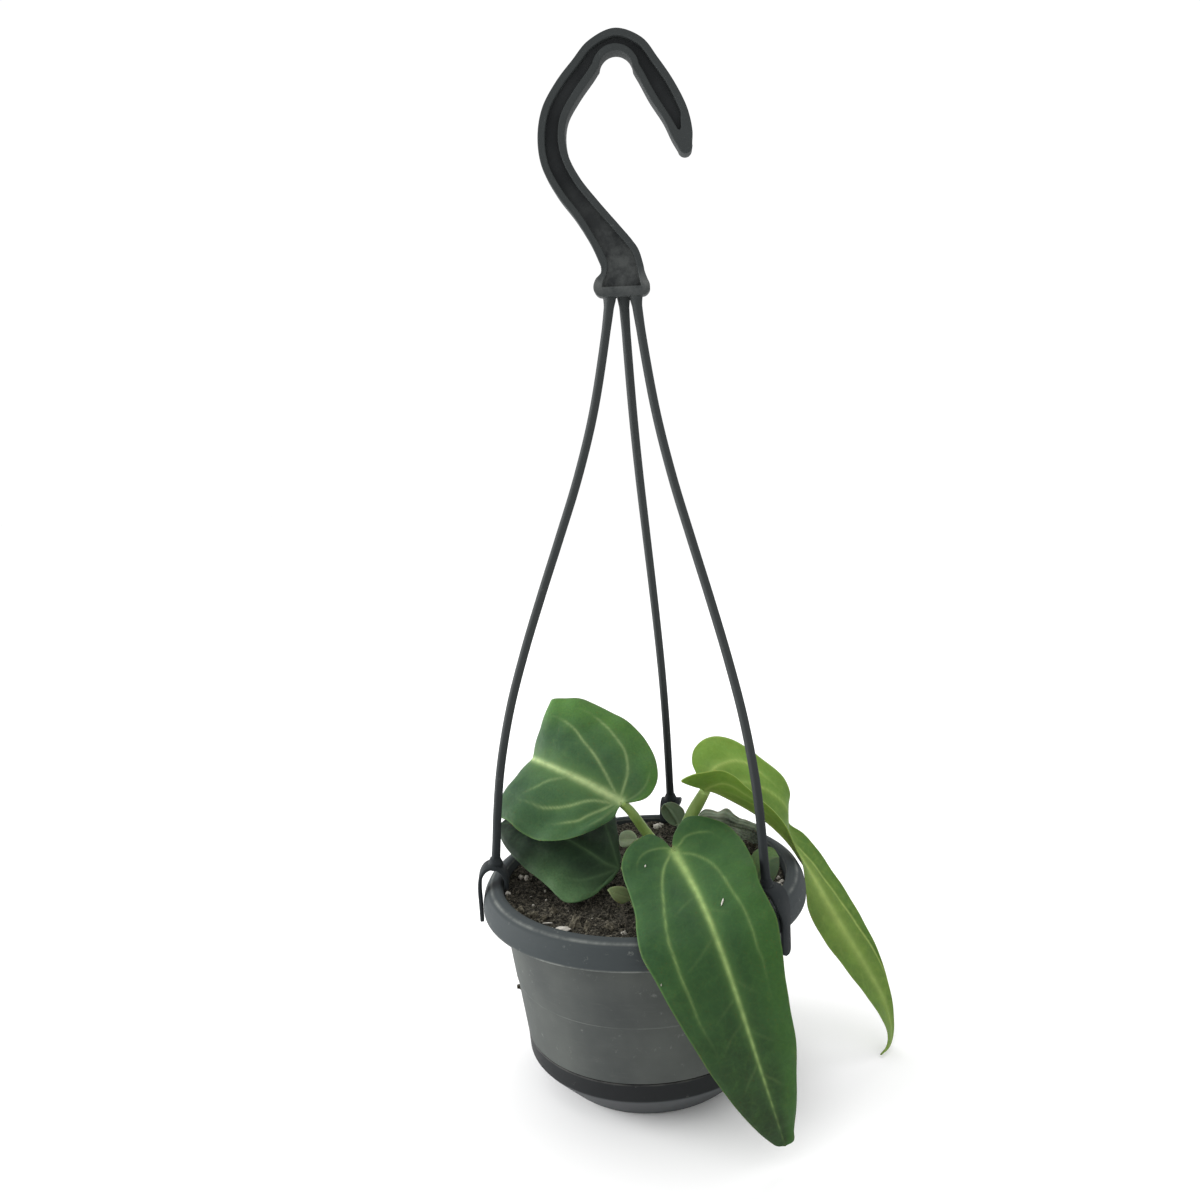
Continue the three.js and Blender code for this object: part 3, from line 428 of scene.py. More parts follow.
def ruled(leaf, rows, cols):
    """Points of both halves: rows run along the margin, columns from midrib to margin."""
    rib = spline(leaf["mid"])
    share = np.linspace(0, 1, rows + 1)
    place = np.clip((share - leaf["lobe"]) / (1 - leaf["lobe"]), 0, 1)
    inner = along(rib, place)
    next_place = np.minimum(place + STEP_AHEAD, 1)
    ahead = unit(along(rib, next_place) - along(rib, next_place - STEP_AHEAD))
    v = np.linspace(0, 1, cols + 1)[None, :, None]
    halves = []
    for half, key in ((LEFT, "left"), (RIGHT, "right")):
        across = along(spline([*leaf[key], leaf["mid"][-1]]), share) - inner
        up = unit(np.cross(across, ahead)) * (-1 if half else 1)
        up[-1] = up[-2]
        ripple = np.sin(RIPPLES * share + half)[:, None, None]
        lift = leaf["cup"] * 4 * v * (1 - v) + leaf["wave"] * v * v * ripple
        lift = lift * np.sin(math.pi * share)[:, None, None]
        halves.append(inner[:, None] + across[:, None] * v + up[:, None] * lift)
    return halves


def joined_halves(halves):
    """Faces and points of both halves, joined at the midrib, and each point's place on its half."""
    rows, cols = halves[0].shape[:2]
    points = np.concatenate([h.reshape(-1, 3) for h in halves])
    count = len(points) // 2
    half_of = np.repeat([LEFT, RIGHT], count)
    share = np.tile(np.repeat(np.linspace(0, 1, rows), cols), 2)
    width = np.tile(np.linspace(0, 1, cols), 2 * rows)
    _, first, where = np.unique(np.round(points, 4), axis=0, return_index=True, return_inverse=True)
    where = where.reshape(-1)
    faces = []
    for half in (LEFT, RIGHT):
        for quad in grid_faces(rows, cols):
            face = [where[i + half * count] for i in (quad[::-1] if half else quad)]
            face = [a for a, b in zip(face, face[1:] + face[:1]) if a != b]
            if len(face) > 2:
                faces.append(face)
    return faces, points[first], half_of[first], share[first], width[first]


def point_normals(points, faces):
    normals = np.zeros_like(points)
    for size in (3, 4):
        group = np.array([f for f in faces if len(f) == size])
        if len(group):
            diagonal = points[group[:, 2]] - points[group[:, 0]]
            n = np.cross(diagonal, points[group[:, -1]] - points[group[:, 1]])
            for corner in range(size):
                np.add.at(normals, group[:, corner], n)
    return unit(normals)


def vein_reach(points, line, widths):
    """How far each point is from a vein, in half widths of the vein, and where along it."""
    gap = np.linalg.norm(points[:, None] - line, axis=2) / widths
    return gap.min(axis=1), gap.argmin(axis=1) / (len(line) - 1)


def grid_line(grid, places):
    """A vein through (share, width) places of one half, as points on the blade."""
    rows, cols = grid.shape[0] - 1, grid.shape[1] - 1
    path = spline(places, 16)
    a = np.clip(path[:, 0] * rows, 0, rows - 1e-6)
    b = np.clip(path[:, 1] * cols, 0, cols - 1e-6)
    i, j = a.astype(int), b.astype(int)
    u, w = (a - i)[:, None], (b - j)[:, None]
    low = grid[i, j] * (1 - w) + grid[i, j + 1] * w
    high = grid[i + 1, j] * (1 - w) + grid[i + 1, j + 1] * w
    return low * (1 - u) + high * u


def all_veins(leaf):
    """The table's veins, and side veins that bend from the midrib toward the tip."""
    out = []
    for half, strength, places in leaf["veins"]:
        out.append((half, strength, [(s / 100, v / 100) for s, v in places]))
    for k in range(leaf["laterals"]):
        start = leaf["lobe"] + (1 - leaf["lobe"]) * (0.1 + 0.8 * k / leaf["laterals"])
        for half in (LEFT, RIGHT):
            s = start + 0.012 * half + 0.006 * math.sin(3 * k + half)
            places = [(s, 0), (s + 0.022, 0.3), (s + 0.05, 0.6), (s + 0.085, 0.8)]
            out.append((half, leaf["side"], places))
    return out


def vein_fields(leaf, points, halves):
    """How much of a vein, and of the wider pale halo round it, each point has."""
    share = np.linspace(0, 1, RIB_POINTS)
    rib_width = np.interp(share, RIB_PLACES, leaf["rib"])
    reach, place = vein_reach(points, along(spline(leaf["mid"]), share), rib_width)
    pale = leaf["rib_pale"] * np.interp(place, RIB_FADE_PLACES, leaf["rib_fade"])
    vein = pale * np.exp(-(reach / 0.9) ** 1.9)
    halo = pale * np.exp(-(reach / leaf["halo"]) ** 1.3)
    for half, strength, places in all_veins(leaf):
        line = grid_line(halves[half], places)
        count = len(line)
        reach, place = vein_reach(points, line, np.linspace(*VEIN_HALF_WIDTHS, count))
        toward_end = 1 - smooth(np.arange(count) / count, 0.55, 1)
        fade = strength * np.interp(place, np.linspace(0, 1, count), toward_end)
        vein = np.maximum(vein, 0.5 * fade * np.exp(-(reach / 1.1) ** 2))
        halo = np.maximum(halo, 0.6 * fade * np.exp(-(reach / 4) ** 1.2))
    return vein, halo


def blade(shape, material, slot, rows, cols):
    leaf = {**COMMON, **shape}
    halves = ruled(leaf, rows, cols)
    faces, points, half_of, share, width = joined_halves(halves)
    count = len(points)
    normals = point_normals(points, faces)
    vein, halo = vein_fields(leaf, points, halves)
    margin = smooth(width, 0.94, 1)
    tint = strip = np.zeros(count)
    # one half marked for a colour of its own: on leaves B, D and E painted light
    if leaf["tint"]:
        toward, low, high, *ends = leaf["tint"]
        tint_and_light_half = int(np.argmax([h.mean(axis=(0, 1)) @ toward for h in halves]))
        tint = (half_of == tint_and_light_half) * smooth(width, low, high) * (smooth(share, *ends) if ends else 1)

    # form: a little puffed between the veins, a fold, pleats, an uneven surface, thin toward the edge
    puff = leaf["puff"] * (1 - halo) * smooth(width, 0, 0.2) * (1 - smooth(width, 0.85, 1))
    if leaf["fold"]:
        crease, (begin, end) = leaf["fold"]
        at = np.interp(share, *zip(*crease))
        in_range = smooth(share, begin, begin + 0.05) * (1 - smooth(share, end - 0.08, end))
        inside = (half_of == LEFT) * in_range
        strip = inside * smooth(width, at - 0.02, at + 0.04)
        vein = np.maximum(vein, 0.6 * inside * np.exp(-((width - at) / 0.035) ** 2))
        puff = puff + 0.7 * inside * np.exp(-((width - at) / 0.09) ** 2)
    puff = puff + leaf["pleats"] * np.sin(22 * width + 3 * np.sin(5 * share)) * smooth(width, 0, 0.1)
    x, y, z = points.T
    wobble = 0.25 * np.sin(0.35 * x + 0.8) * np.sin(0.31 * z + 0.4 * y) * smooth(width, 0.1, 0.5)
    body = points + normals * ((puff + wobble) * smooth(1 - share, 0, 0.1))[:, None]
    half_thick = THICKNESS / 2 * (1 - 0.45 * smooth(width, 0.75, 1)) + VEIN_RELIEF * vein * (1 - margin)
    top = body + normals * (half_thick * 0.9)[:, None]
    under = body - normals * (half_thick + VEIN_RELIEF_BELOW * vein * (1 - margin))[:, None]

    edges = dict.fromkeys((a, b) for f in faces for a, b in zip(f, f[1:] + f[:1]))
    rim = [(a, b) for a, b in edges if (b, a) not in edges]
    solid = [*faces, *([i + count for i in f[::-1]] for f in faces)]
    solid += [(b, a, a + count, b + count) for a, b in rim]
    values = [np.tile(v, 2) for v in (vein, halo, margin, share, strip, tint)]
    facts = dict(zip(FIELDS, [*values, np.repeat([0, 1], count)]))
    verts, node = np.concatenate([top, under]), leaf["node"]
    piece(node + "_blade", verts, solid, material, slot, node, facts)


# Leaf looks
def leaf_material(name, deep, light, vein, halo, under, rough=0.6, sheen=0.03, dust=0.2,
                  tip=None, tip_place=(0.45, 0.95, 0.75), strip=None, tint=None):
    """Colours are screen values: tip toward the end of the blade (from, to, strength), painted shade on
    leaves A and B and on the withered leaf; a colour on one half, painted light on leaves B, D and E; strip
    on a fold, under on the lower side, a painted shadow on the withered leaf."""
    deep, light, vein, halo, under = map(tone, (deep, light, vein, halo, under))
    n = Nodes(name, deep)
    broad = n.noise(28, 3)
    fine = n.noise(260, 6, 0.62)
    n.over(light, broad, 0.32, 0.68)
    # the colour toward the tip: painted shade on leaves A and B and on the withered leaf
    if tip:
        n.over(tone(tip), n.value("share"), *tip_place)
    # the lower side's colour: near black on the withered leaf, a painted shadow
    n.over(under, n.value("under"), 0.4, 0.6, 0.85)
    n.lay(tone(strip) if strip else deep, n.times(n.value("strip"), 0.85))
    # a colour laid on one half: painted light on leaves B, D and E
    if tint:
        patchy = n.mix(n.fade(broad, 0.3, 0.7, 0, 0.3), tone(tint), light)
        n.lay(patchy, n.times(n.value("tint"), 0.85))
    n.over(light, n.noise(120, 5, 0.65), 0.42, 0.66, 0.35)
    n.over(deep, n.noise(1300, 3, 0.6), 0.35, 0.65, 0.3)
    n.over(halo, n.cells(260), 0, 0.12, 0, 0.05)
    n.over(halo, fine, 0.52, 0.78, dust)
    n.over(halo, n.value("halo"), 0.05, 0.95, 0.6)
    n.lay(vein, n.times(n.value("vein"), n.fade(fine, 0.3, 0.6, 0.55, 0.95)))
    n.over(halo, n.value("margin"), 0.4, 1, 0.45)
    height = n.plus(n.fade(n.cells(210), 0, 0.25, 0, 0.5), fine, 0.35)
    height = n.plus(height, n.value("vein"), -0.8)
    roughness = n.fade(fine, 0.3, 0.7, rough - 0.07, rough + 0.08)
    return n.done(roughness, n.bump(height, 0.18, 0.55),
                  Sheen_Weight=sheen, Sheen_Roughness=0.45, Sheen_Tint=(0.75, 0.95, 0.72),
                  Specular_IOR_Level=0.14, Subsurface_Weight=0.05, Subsurface_Scale=0.002)


VELVET = leaf_material(
    "velvet_leaf", (33, 62, 32), (50, 82, 42), (145, 168, 103), (80, 112, 56), (66, 92, 54),
    sheen=0.04, tip=(28, 44, 18), tip_place=(0.45, 0.85, 0.95), tint=(50, 86, 32))
# leaf A: the darker far end of the blade is painted shade
VELVET_A = leaf_material(
    "velvet_leaf_upper", (34, 62, 38), (62, 92, 56), (160, 178, 124), (86, 116, 62), (66, 94, 56),
    sheen=0.015, tip=(26, 48, 32), tip_place=(0.45, 0.75, 0.7), tint=(74, 116, 42))
# leaf B: dark all over and darker toward its tip, painted shade under leaf A; the paler colour on its lower
# near half toward the stalk is painted light
SHADED = leaf_material(
    "shaded_leaf", (14, 32, 20), (44, 66, 40), (84, 108, 74), (62, 88, 56), (64, 88, 54),
    tip=(12, 24, 18), tip_place=(0.3, 0.7, 0.75), tint=(78, 110, 68))
# leaf D: the paler colour on its far half near the stalk is painted light
YOUNG = leaf_material(
    "young_leaf", (84, 118, 40), (108, 140, 54), (168, 186, 106), (146, 170, 84), (76, 104, 44),
    rough=0.5, tip=(73, 88, 40), tip_place=(0.3, 0.48, 0.85), strip=(70, 104, 44), tint=(112, 148, 60))
DULL = leaf_material(
    "dull_leaf", (96, 114, 90), (124, 142, 114), (116, 134, 108), (140, 156, 130), (100, 118, 92))
# leaf E: the paler colour on its left half is painted light
OLIVE = leaf_material(
    "olive_leaf", (58, 76, 54), (74, 94, 66), (110, 130, 86), (88, 108, 72), (66, 84, 58),
    tint=(94, 122, 68))
SHEATH = leaf_material(
    "sheath_leaf", (138, 154, 122), (164, 178, 146), (170, 182, 150), (158, 172, 140), (122, 138, 108))
# withered leaf: the near-black lower side and far end are painted shadow
PAPERY = leaf_material(
    "withered_leaf", (112, 122, 104), (156, 164, 144), (120, 128, 110), (130, 138, 120), (20, 23, 21),
    rough=0.85, sheen=0.02, dust=0.25, tip=(14, 17, 16), tip_place=(0.3, 0.5, 0.92),
    tint=(112, 122, 106))
LIME = leaf_material(
    "lime_leaf", (96, 110, 72), (120, 134, 90), (132, 146, 102), (118, 132, 92), (88, 102, 68))


def stem_material():
    n = Nodes("stem")
    streak = n.noise(120, 4, stretch=(1, 1, 0.12))
    fine = n.noise(420, 5)
    n.colour = n.ramp(streak, [(0.3, (112, 138, 68)), (0.55, (140, 166, 90)), (0.75, (160, 182, 114))])
    n.over(tone((80, 108, 44)), n.noise(30, 2), 0.45, 0.7, 0.35)
    return n.done(0.5, n.bump(n.plus(streak, fine, 0.4), 0.2, 0.5),
                  Specular_IOR_Level=0.4, Subsurface_Weight=0.08, Subsurface_Scale=0.002)


STEM = stem_material()


# Plastics
def plastic(name, base, worn, dust, rough, scale=90, scratch=0.25, above=None, edges=()):
    """above: (height, half width of the change, colour) laid above that height: painted shade, above the
    height on the pot and saucer and below it on the hanger; edges: (height, half width, strength) of pale
    bands, partly wear and partly painted highlight. Heights and widths are in mm."""
    base, worn, dust = map(tone, (base, worn, dust))
    n = Nodes(name, base)
    cloud = n.noise(scale * 0.25, 4)
    grain = n.noise(scale * 9, 3)
    lines = n.noise(scale * 1.4, 5, 0.7, stretch=(1, 1, 5))
    patchy = n.noise(scale * 1.1, 6, 0.65)
    n.over(worn, cloud, 0.38, 0.68)
    n.over(worn, lines, 0.55, 0.8, scratch)
    # painted shade: the colour changes at a height
    if above:
        level, soft, upper = above
        n.over(tone(upper), n.axis("Z"), (level - soft) * MM, (level + soft) * MM, 0.85)
    # pale bands: partly wear, partly painted highlight along lit edges
    for height, half, strength in edges:
        near = n.math("ABSOLUTE", n.math("SUBTRACT", n.axis("Z"), height * MM))
        band = n.fade(near, 0, half * MM, strength, 0)
        n.lay(dust, n.times(band, n.fade(patchy, 0.4, 0.6, 0.15, 1)))
    if scratch:
        n.over(dust, n.noise(scale * 3.2, 6, 0.75), 0.62, 0.72, 0.5)
    roughness = n.fade(cloud, 0.3, 0.7, rough - 0.06, rough + 0.08)
    height = n.plus(n.plus(n.times(grain, 0.4), lines, 0.6), patchy, 0.8)
    return n.done(roughness, n.bump(height, 0.12, 0.6), Specular_IOR_Level=0.07)


# pot: the collar above 71.2 mm is darker, painted shade; the pale bands at its top edge and lower lip are
# partly wear and partly painted highlight; another pale band marks the seam at 43.9 mm
POT = plastic("pot_plastic", (66, 69, 68), (84, 87, 84), (120, 123, 119), 0.62, scratch=0.4,
              above=(71.2, 0.6, (54, 59, 61)),
              edges=((71.1, 0.7, 0.8), (79.6, 0.5, 0.65), (43.9, 0.35, 0.4)))
# saucer: near black above 12.8 mm, painted shadow under the pot; a pale band runs along its top edge
SAUCER = plastic("saucer_plastic", (70, 72, 74), (80, 83, 84), (104, 104, 100), 0.55,
                 above=(12.8, 0.6, (24, 25, 26)), edges=((20, 0.5, 0.35),))
# hanger: darker below about 115 mm, painted shade on the lower strands and clips; the pale band near 301 mm
# is a painted highlight on the hook's foot
HANGER = plastic("hanger_plastic", (32, 35, 37), (44, 48, 50), (92, 94, 93), 0.58, scale=140,
                 above=(115, 25, (56, 59, 59)), edges=((301, 5.5, 0.8),))
# a darker copy of the hanger plastic, painted shade in the hook's recessed web; its pale band toward the
# lower end is painted light
RECESS_SHADE = plastic("hanger_recess_shade", (36, 38, 39), (50, 52, 53), (104, 107, 105), 0.6, scale=140, scratch=0,
                 edges=((300, 36, 0.5),))


# Soil, perlite and bark
def soil_material(name, dark, mid, pale, fleck):
    n = Nodes(name)
    clod, crumb, dust = n.noise(160, 6, 0.7), n.noise(800, 8, 0.8), n.noise(2600, 5, 0.7)
    n.colour = n.ramp(crumb, [(0.38, dark), (0.5, mid), (0.58, pale), (0.7, fleck)])
    n.over(tone(dark), clod, 0.4, 0.6, 0, 0.35)
    n.over(tone(fleck), dust, 0.58, 0.66, 0.7)
    return n.done(0.97, n.bump(n.plus(crumb, dust, 0.6), 0.7, 1), Specular_IOR_Level=0.1)


def rough_material(name, scale, stops, relief, stretch=None):
    n = Nodes(name)
    uneven = n.noise(scale, 6, 0.7, stretch)
    n.colour = n.ramp(uneven, stops)
    return n.done(0.9, n.bump(uneven, relief, 0.8))


SOIL = soil_material("potting_mix", (17, 16, 14), (52, 50, 44), (104, 99, 87), (160, 153, 136))
CLOD = soil_material("pale_clods", (50, 47, 40), (92, 88, 76), (124, 118, 102), (150, 143, 126))
PERLITE = rough_material(
    "perlite", 600, [(0.3, (140, 134, 122)), (0.55, (188, 184, 175)), (0.8, (214, 211, 203))], 0.3)
BARK = rough_material(
    "bark", 300, [(0.3, (46, 34, 26)), (0.6, (96, 74, 56)), (0.8, (134, 110, 86))], 0.4, (1, 1, 0.3))

# Pot and saucer: profiles as (radius, height)
POT_PROFILE = [
    (0, 20.5), (48.6, 20.5), (48.75, 21.2), (51.6, 43.8), (51.95, 44.4), (55.3, 71), (56.1, 76.6),
    (57.4, 77.6), (59.2, 76.8), (60.5, 75), (61.1, 72.8), (61.2, 70.9), (62.5, 70.9), (62.45, 73.6),
    (61.9, 76.2), (60.6, 78.6), (58.8, 79.9), (56.7, 80.5), (55.6, 80.4), (55, 79.7), (47, 22.5), (0, 22.5)]
SAUCER_PROFILE = [
    (0, 0), (35.8, 0), (37.4, 1.4), (46.9, 11.6), (48.2, 13.3), (48.6, 20.2), (46.4, 20.2), (45.7, 13.6),
    (35.4, 2.4), (0, 2.4)]
lathe("pot_shell", rounded(POT_PROFILE, 0.35), POT, "pot_plastic", "pot")
lathe("saucer_dish", rounded(SAUCER_PROFILE, 0.6), SAUCER, "saucer_plastic", "saucer")

# Soil: an uneven body with loose crumbs, grains and clods on it
random = np.random.default_rng(11)
SOIL_LEVEL = 76.3
SOIL_RISE = 1.9
SOIL_RADIUS = 54.1
SOIL_RINGS = 90
SOIL_SIDE = [54, 46.7, 0.01]
SOIL_EDGE = 74
SOIL_FLOOR = 22.8
ROUGHNESS = 0.8
SCATTER_RADIUS = 52.5
# (x, y, radius) round the stems that stays free of crumbs
STEM_FEET = [
    (10, 5, 6.2), (39, -23, 1), (14.5, 45.6, 1), (20, 30, 1), (0, 3.3, 1), (-4, -25, 1), (9.2, 20, 1)]
# (x, y, size)
GRAINS = [
    (-49.1, 6.2, 1.35), (-46.7, 4.3, 1.05), (-52.3, -10, 0.9), (-43, -12.4, 0.35), (-41.6, -18.5, 0.4),
    (-38.2, -7.7, 0.55), (-37.2, -13.9, 0.4), (-6.8, -45.4, 0.95), (4.9, 48.1, 1.4), (7.1, 50.2, 1.1),
    (51.2, -10.6, 1), (51.9, -5.4, 0.9), (52.6, -8.6, 0.9), (51.8, -15.6, 1.1), (52.8, -12.6, 0.8),
    (50.2, -13, 0.6)]
CLODS = [
    (-24.5, -37.5, 2.7), (-46, -24, 2.3), (-41, -29, 2), (-33, -27, 1.8), (-20, -41, 2.2), (-37, -33, 1.7),
    (44, 26, 2.6), (47, 18, 2.2), (49, 10, 1.8), (-12, -41, 1.7), (-43, 20, 2), (-18, 45, 2.2), (28, 40, 2)]
# (count, smallest, largest, detail, raggedness, depth in the soil as a share of the size)
CRUMBS = {"fine": (5000, 0.16, 0.55, 1, 0.9, 0.25), "coarse": (520, 0.5, 1.5, 2, 0.9, 0.25)}
SMALL_GRAINS = (36, 0.12, 0.34, 1, 0.6, -0.1)
# (x, y, size, squash along each axis): a flake and a fibre
FLAKES = [(-28.5, -41.2, 2.5, (1, 0.42, 0.3)), (-34.5, -36.2, 1.6, (1, 0.2, 0.14))]


def soil_height(x, y):
    rise = 0.5 * np.sin(0.17 * x + 1.3) * np.cos(0.21 * y - 0.4) + SOIL_RISE * smooth(y, 18, 44)
    return SOIL_LEVEL + rise + 0.3 * np.sin(0.5 * x - 0.37 * y)


def on_soil(x, y, lift=0):
    return x, y, soil_height(x, y) + lift


def bumps(x, y):
    """Waves of five sizes that bend each other."""
    h = 0
    for k in range(1, 6):
        f = 0.35 * 1.7 ** k
        a, b, c = 1.3 * k, 2.1 * k + 1, 0.7 * k
        bent_x = f * x + a + 1.7 * np.sin(0.6 * f * y + c)
        bent_y = f * y + b + 1.3 * np.sin(0.7 * f * x)
        h += 0.55 / 1.35 ** k * np.sin(bent_x) * np.sin(bent_y)
    return h


def soil_body():
    """The rough top in rings, then a rim, a tapered wall and the bottom."""
    ring = circle(220)
    r = np.concatenate([np.linspace(0.01, SOIL_RADIUS, SOIL_RINGS), SOIL_SIDE])
    x, y = np.outer(r, np.cos(ring)), np.outer(r, np.sin(ring))
    z = soil_height(x, y) + ROUGHNESS * bumps(x, y)
    z[SOIL_RINGS] = SOIL_EDGE
    z[SOIL_RINGS + 1:] = SOIL_FLOOR
    verts = np.stack([x, y, z], -1).reshape(-1, 3)
    piece("soil_body", verts, grid_faces(len(r), len(ring), wrap=True), SOIL, "potting_mix", "soil")


def icosphere(detail):
    bm = bmesh.new()
    bmesh.ops.create_icosphere(bm, subdivisions=detail, radius=1)
    verts = np.array([v.co[:] for v in bm.verts])
    faces = [tuple(v.index for v in f.verts) for f in bm.faces]
    bm.free()
    return verts, faces


BALLS = {detail: icosphere(detail) for detail in (1, 2, 3)}


def lump(centre, size, detail, ragged):
    """A ball that is stretched, dented and turned at random."""
    base, faces = BALLS[detail]
    stretch = 1 + ragged * (random.random(3) - 0.5)
    phase = random.random(3) * 6
    dents = np.sin(base @ [2.3, 3.1, 2.7] + phase[0])
    dents = 0.5 * ragged * dents * np.sin(base @ [3.7, -2.2, 1.9] + phase[1])
    turn = Matrix.Rotation(phase[2], 3, "Z") @ Matrix.Rotation(phase[0], 3, "X")
    return (base * stretch * (1 + dents)[:, None] * size) @ np.array(turn) + centre, faces


def scatter(count, low, high, detail, ragged, sink):
    """Lumps at random places of the soil, more small ones than large."""
    parts = []
    while len(parts) < count:
        r, a = SCATTER_RADIUS * math.sqrt(random.random()), 2 * math.pi * random.random()
        x, y = r * math.cos(a), r * math.sin(a)
        size = low + (high - low) * random.random() ** 2
        if any(math.hypot(x - cx, y - cy) < cr + size for cx, cy, cr in STEM_FEET):
            continue
        z = soil_height(x, y) + ROUGHNESS * bumps(x, y) - sink * size
        parts.append(lump((x, y, z), size, detail, ragged))
    return merged(parts)


soil_body()
for label, amounts in CRUMBS.items():
    piece("soil_crumbs_" + label, *scatter(*amounts), SOIL, "potting_mix", "soil", flat=True)
grains = [lump(on_soil(x, y, 0.3 * size), size, 3, 0.6) for x, y, size in GRAINS]
for x, y, size, squash in FLAKES:
    verts, faces = lump(0, size, 3, 0.5)
    grains.append((verts @ np.diag(squash) + on_soil(x, y, 0.9), faces))
grains.append(scatter(*SMALL_GRAINS))
piece("perlite_grains", *merged(grains), PERLITE, "potting_mix", "soil")
clods = [lump(on_soil(x, y), size, 3, 0.9) for x, y, size in CLODS]
piece("soil_clods", *merged(clods), CLOD, "potting_mix", "soil", flat=True)

# A small nub of soil on the left of the pot's wall
piece("wall_nub", *lump((-50.6, -5.5, 36.2), 0.75, 3, 0.9), SOIL, "pot_plastic", "pot")

# Stems: routes and radii of the crown, the petioles and the small leaves' stalks
CROWN = [(10, 5, 62), (10, 5, 70), (10, 5, 79), (10, 4, 85)], (5, 6, 6, 3.6)
PETIOLES = [
    ([(9, 4, 80), (6, 3, 87), (1, 1.2, 95.5), (-4, -2.4, 105), (-7.2, -5.7, 110)], (2.7, 2.1, 2, 1.9, 1.7)),
    ([(8, 3, 79), (3, -1, 83.5), (-3, -4.6, 83.9), (-8.4, -7.1, 83.7)], (2.4, 1.8, 1.5, 1)),
    ([(10, 3, 80), (10, -5, 86.8), (10.3, -12, 90.8), (10.8, -18, 93.7), (11.9, -23.6, 96.6)],
     (2.6, 1.9, 1.7, 1.6, 1.5)),
    ([(12, 6, 80), (15.5, 6.5, 90), (19.5, 7, 99), (22.8, 5, 105.5), (25, 2.1, 110.4)],
     (3, 2.7, 2.6, 2.5, 2.1))]
STALKS = {
    "leaf_e": (STEM, "dull_leaf", (0.9, 0.9, 0.7), [(38, -22, 68), (39, -23.4, 76), (41.7, -26, 82.6)]),
    "leaf_back": (DULL, "dull_leaf", (0.9, 0.9, 0.7), [(14.8, 44, 68), (14.5, 45.6, 75), (14.1, 47, 79.5)]),
    "leaf_withered": (PAPERY, "withered_leaf", (1, 1, 0.8), [(19, 29, 68), (20, 30, 77), (23.5, 32, 85.2)]),
    "leaf_sheath": (SHEATH, "dull_leaf", (1, 1, 0.8), [(0.2, 3.4, 68), (-0.4, 3.2, 80), (-2.6, 3, 91.5)]),
    "leaf_young": (LIME, "young_leaf", (0.9, 0.9, 0.7),
                   [(-3, -24, 68), (-3.4, -24.6, 76), (-4.7, -26, 81)]),
    "twig": (BARK, "dead_twig", (0.8, 0.75, 0.5), [(8.5, 19.5, 70), (9.2, 20, 77), (12.6, 20.5, 83)])}


def grooved(angle):
    """Cross-section of a petiole, with a shallow groove along one side."""
    return 1 - 0.16 * np.exp(-((np.angle(np.exp(1j * (angle - 1.2)))) / 0.5) ** 2)


stems = [sweep(*CROWN, 40, 28), *(sweep(route, radii, 70, 24, grooved) for route, radii in PETIOLES)]
piece("crown_and_petioles", *merged(stems), STEM, "stem", "stems")
for node, (look, slot, radii, route) in STALKS.items():
    verts, faces = sweep(route, radii, 30, 14)
    piece(node + "_stalk", verts, faces, look, slot, node, dict.fromkeys(FIELDS, np.zeros(len(verts))))

# Hanger hook: foot and pocket as (height, left, right), then the centreline as (x, height, width)
# from the foot over the top to the blunt tip
HOOK_FOOT = [
    (296.5, -4.6, 8.9), (296.9, -6.3, 10.6), (298.3, -7.6, 11.9), (300.2, -7.9, 12.1), (302.6, -7, 11.2),
    (304.7, -5, 10.5), (307, -4.3, 10.1)]
FOOT_POCKET = [
    (299.9, -4.7, 9), (301.2, -4.6, 8.7), (304, -3.2, 8.2), (307.5, -2.4, 7.6), (311.5, -3.6, 6.3)]
HOOK_LINE = [
    (2.2, 308.8, 14.5), (0.5, 312, 13.8), (-3.1, 317.9, 11.8), (-8.7, 325.9, 10.1), (-14.8, 334.2, 9.9),
    (-18.8, 342.4, 10), (-19.7, 350.3, 9.5), (-18.1, 358.1, 9.2), (-13.3, 365.7, 9.1), (-7.9, 372, 8.7),
    (-3, 377.4, 8.4), (4, 380.5, 8.2), (10.2, 377.9, 8.7), (14.4, 372.1, 9.1), (19, 364.4, 10),
    (23.4, 356.4, 9), (25.5, 349.8, 7.4), (26.4, 345.8, 5)]
POCKET_END = [(25.1, 351.6), (24.7, 350.9), (24.1, 351.2)]
HOOK_DEPTH = 7.6
WEB_DEPTH = 2.6
WEB_OVERLAP = 0.9
WALL = 2.5
LIP = 0.4
SEAT = (3.6, 371.6)
SEAT_RADIUS = 5.8
SEAT_WALL = 2.3


def offset_outline(points, reach):
    """A closed outline moved inward (listed with its inside on the right) by reach."""
    ahead = unit(np.roll(points, -1, 0) - np.roll(points, 1, 0))
    return points + np.stack([ahead[:, 1], -ahead[:, 0]], -1) * reach


def hook_edges(levels, outer, inner):
    """Curves up the left and the right edge, from the foot's levels into the hook's own edges."""
    z, left, right = np.array(levels).T
    return [spline([*zip(x, z), *edge], 14) for x, edge in ((left, outer), (right, inner))]


def round_seat(points, radius):
    """Where an edge comes nearer to the seat than radius, it follows the seat's circle."""
    near = np.linalg.norm(points - SEAT, axis=1) < radius
    first, last = np.flatnonzero(near)[[0, -1]]
    start, end = (np.arctan2(*(points[k] - SEAT)[::-1]) for k in (first, last))
    turn = np.linspace(start % (2 * math.pi), (end + math.pi) % (2 * math.pi) - math.pi, 60)
    arc = SEAT + radius * np.stack([np.cos(turn), np.sin(turn)], -1)
    return np.vstack([points[:first], arc, points[last + 1:]])


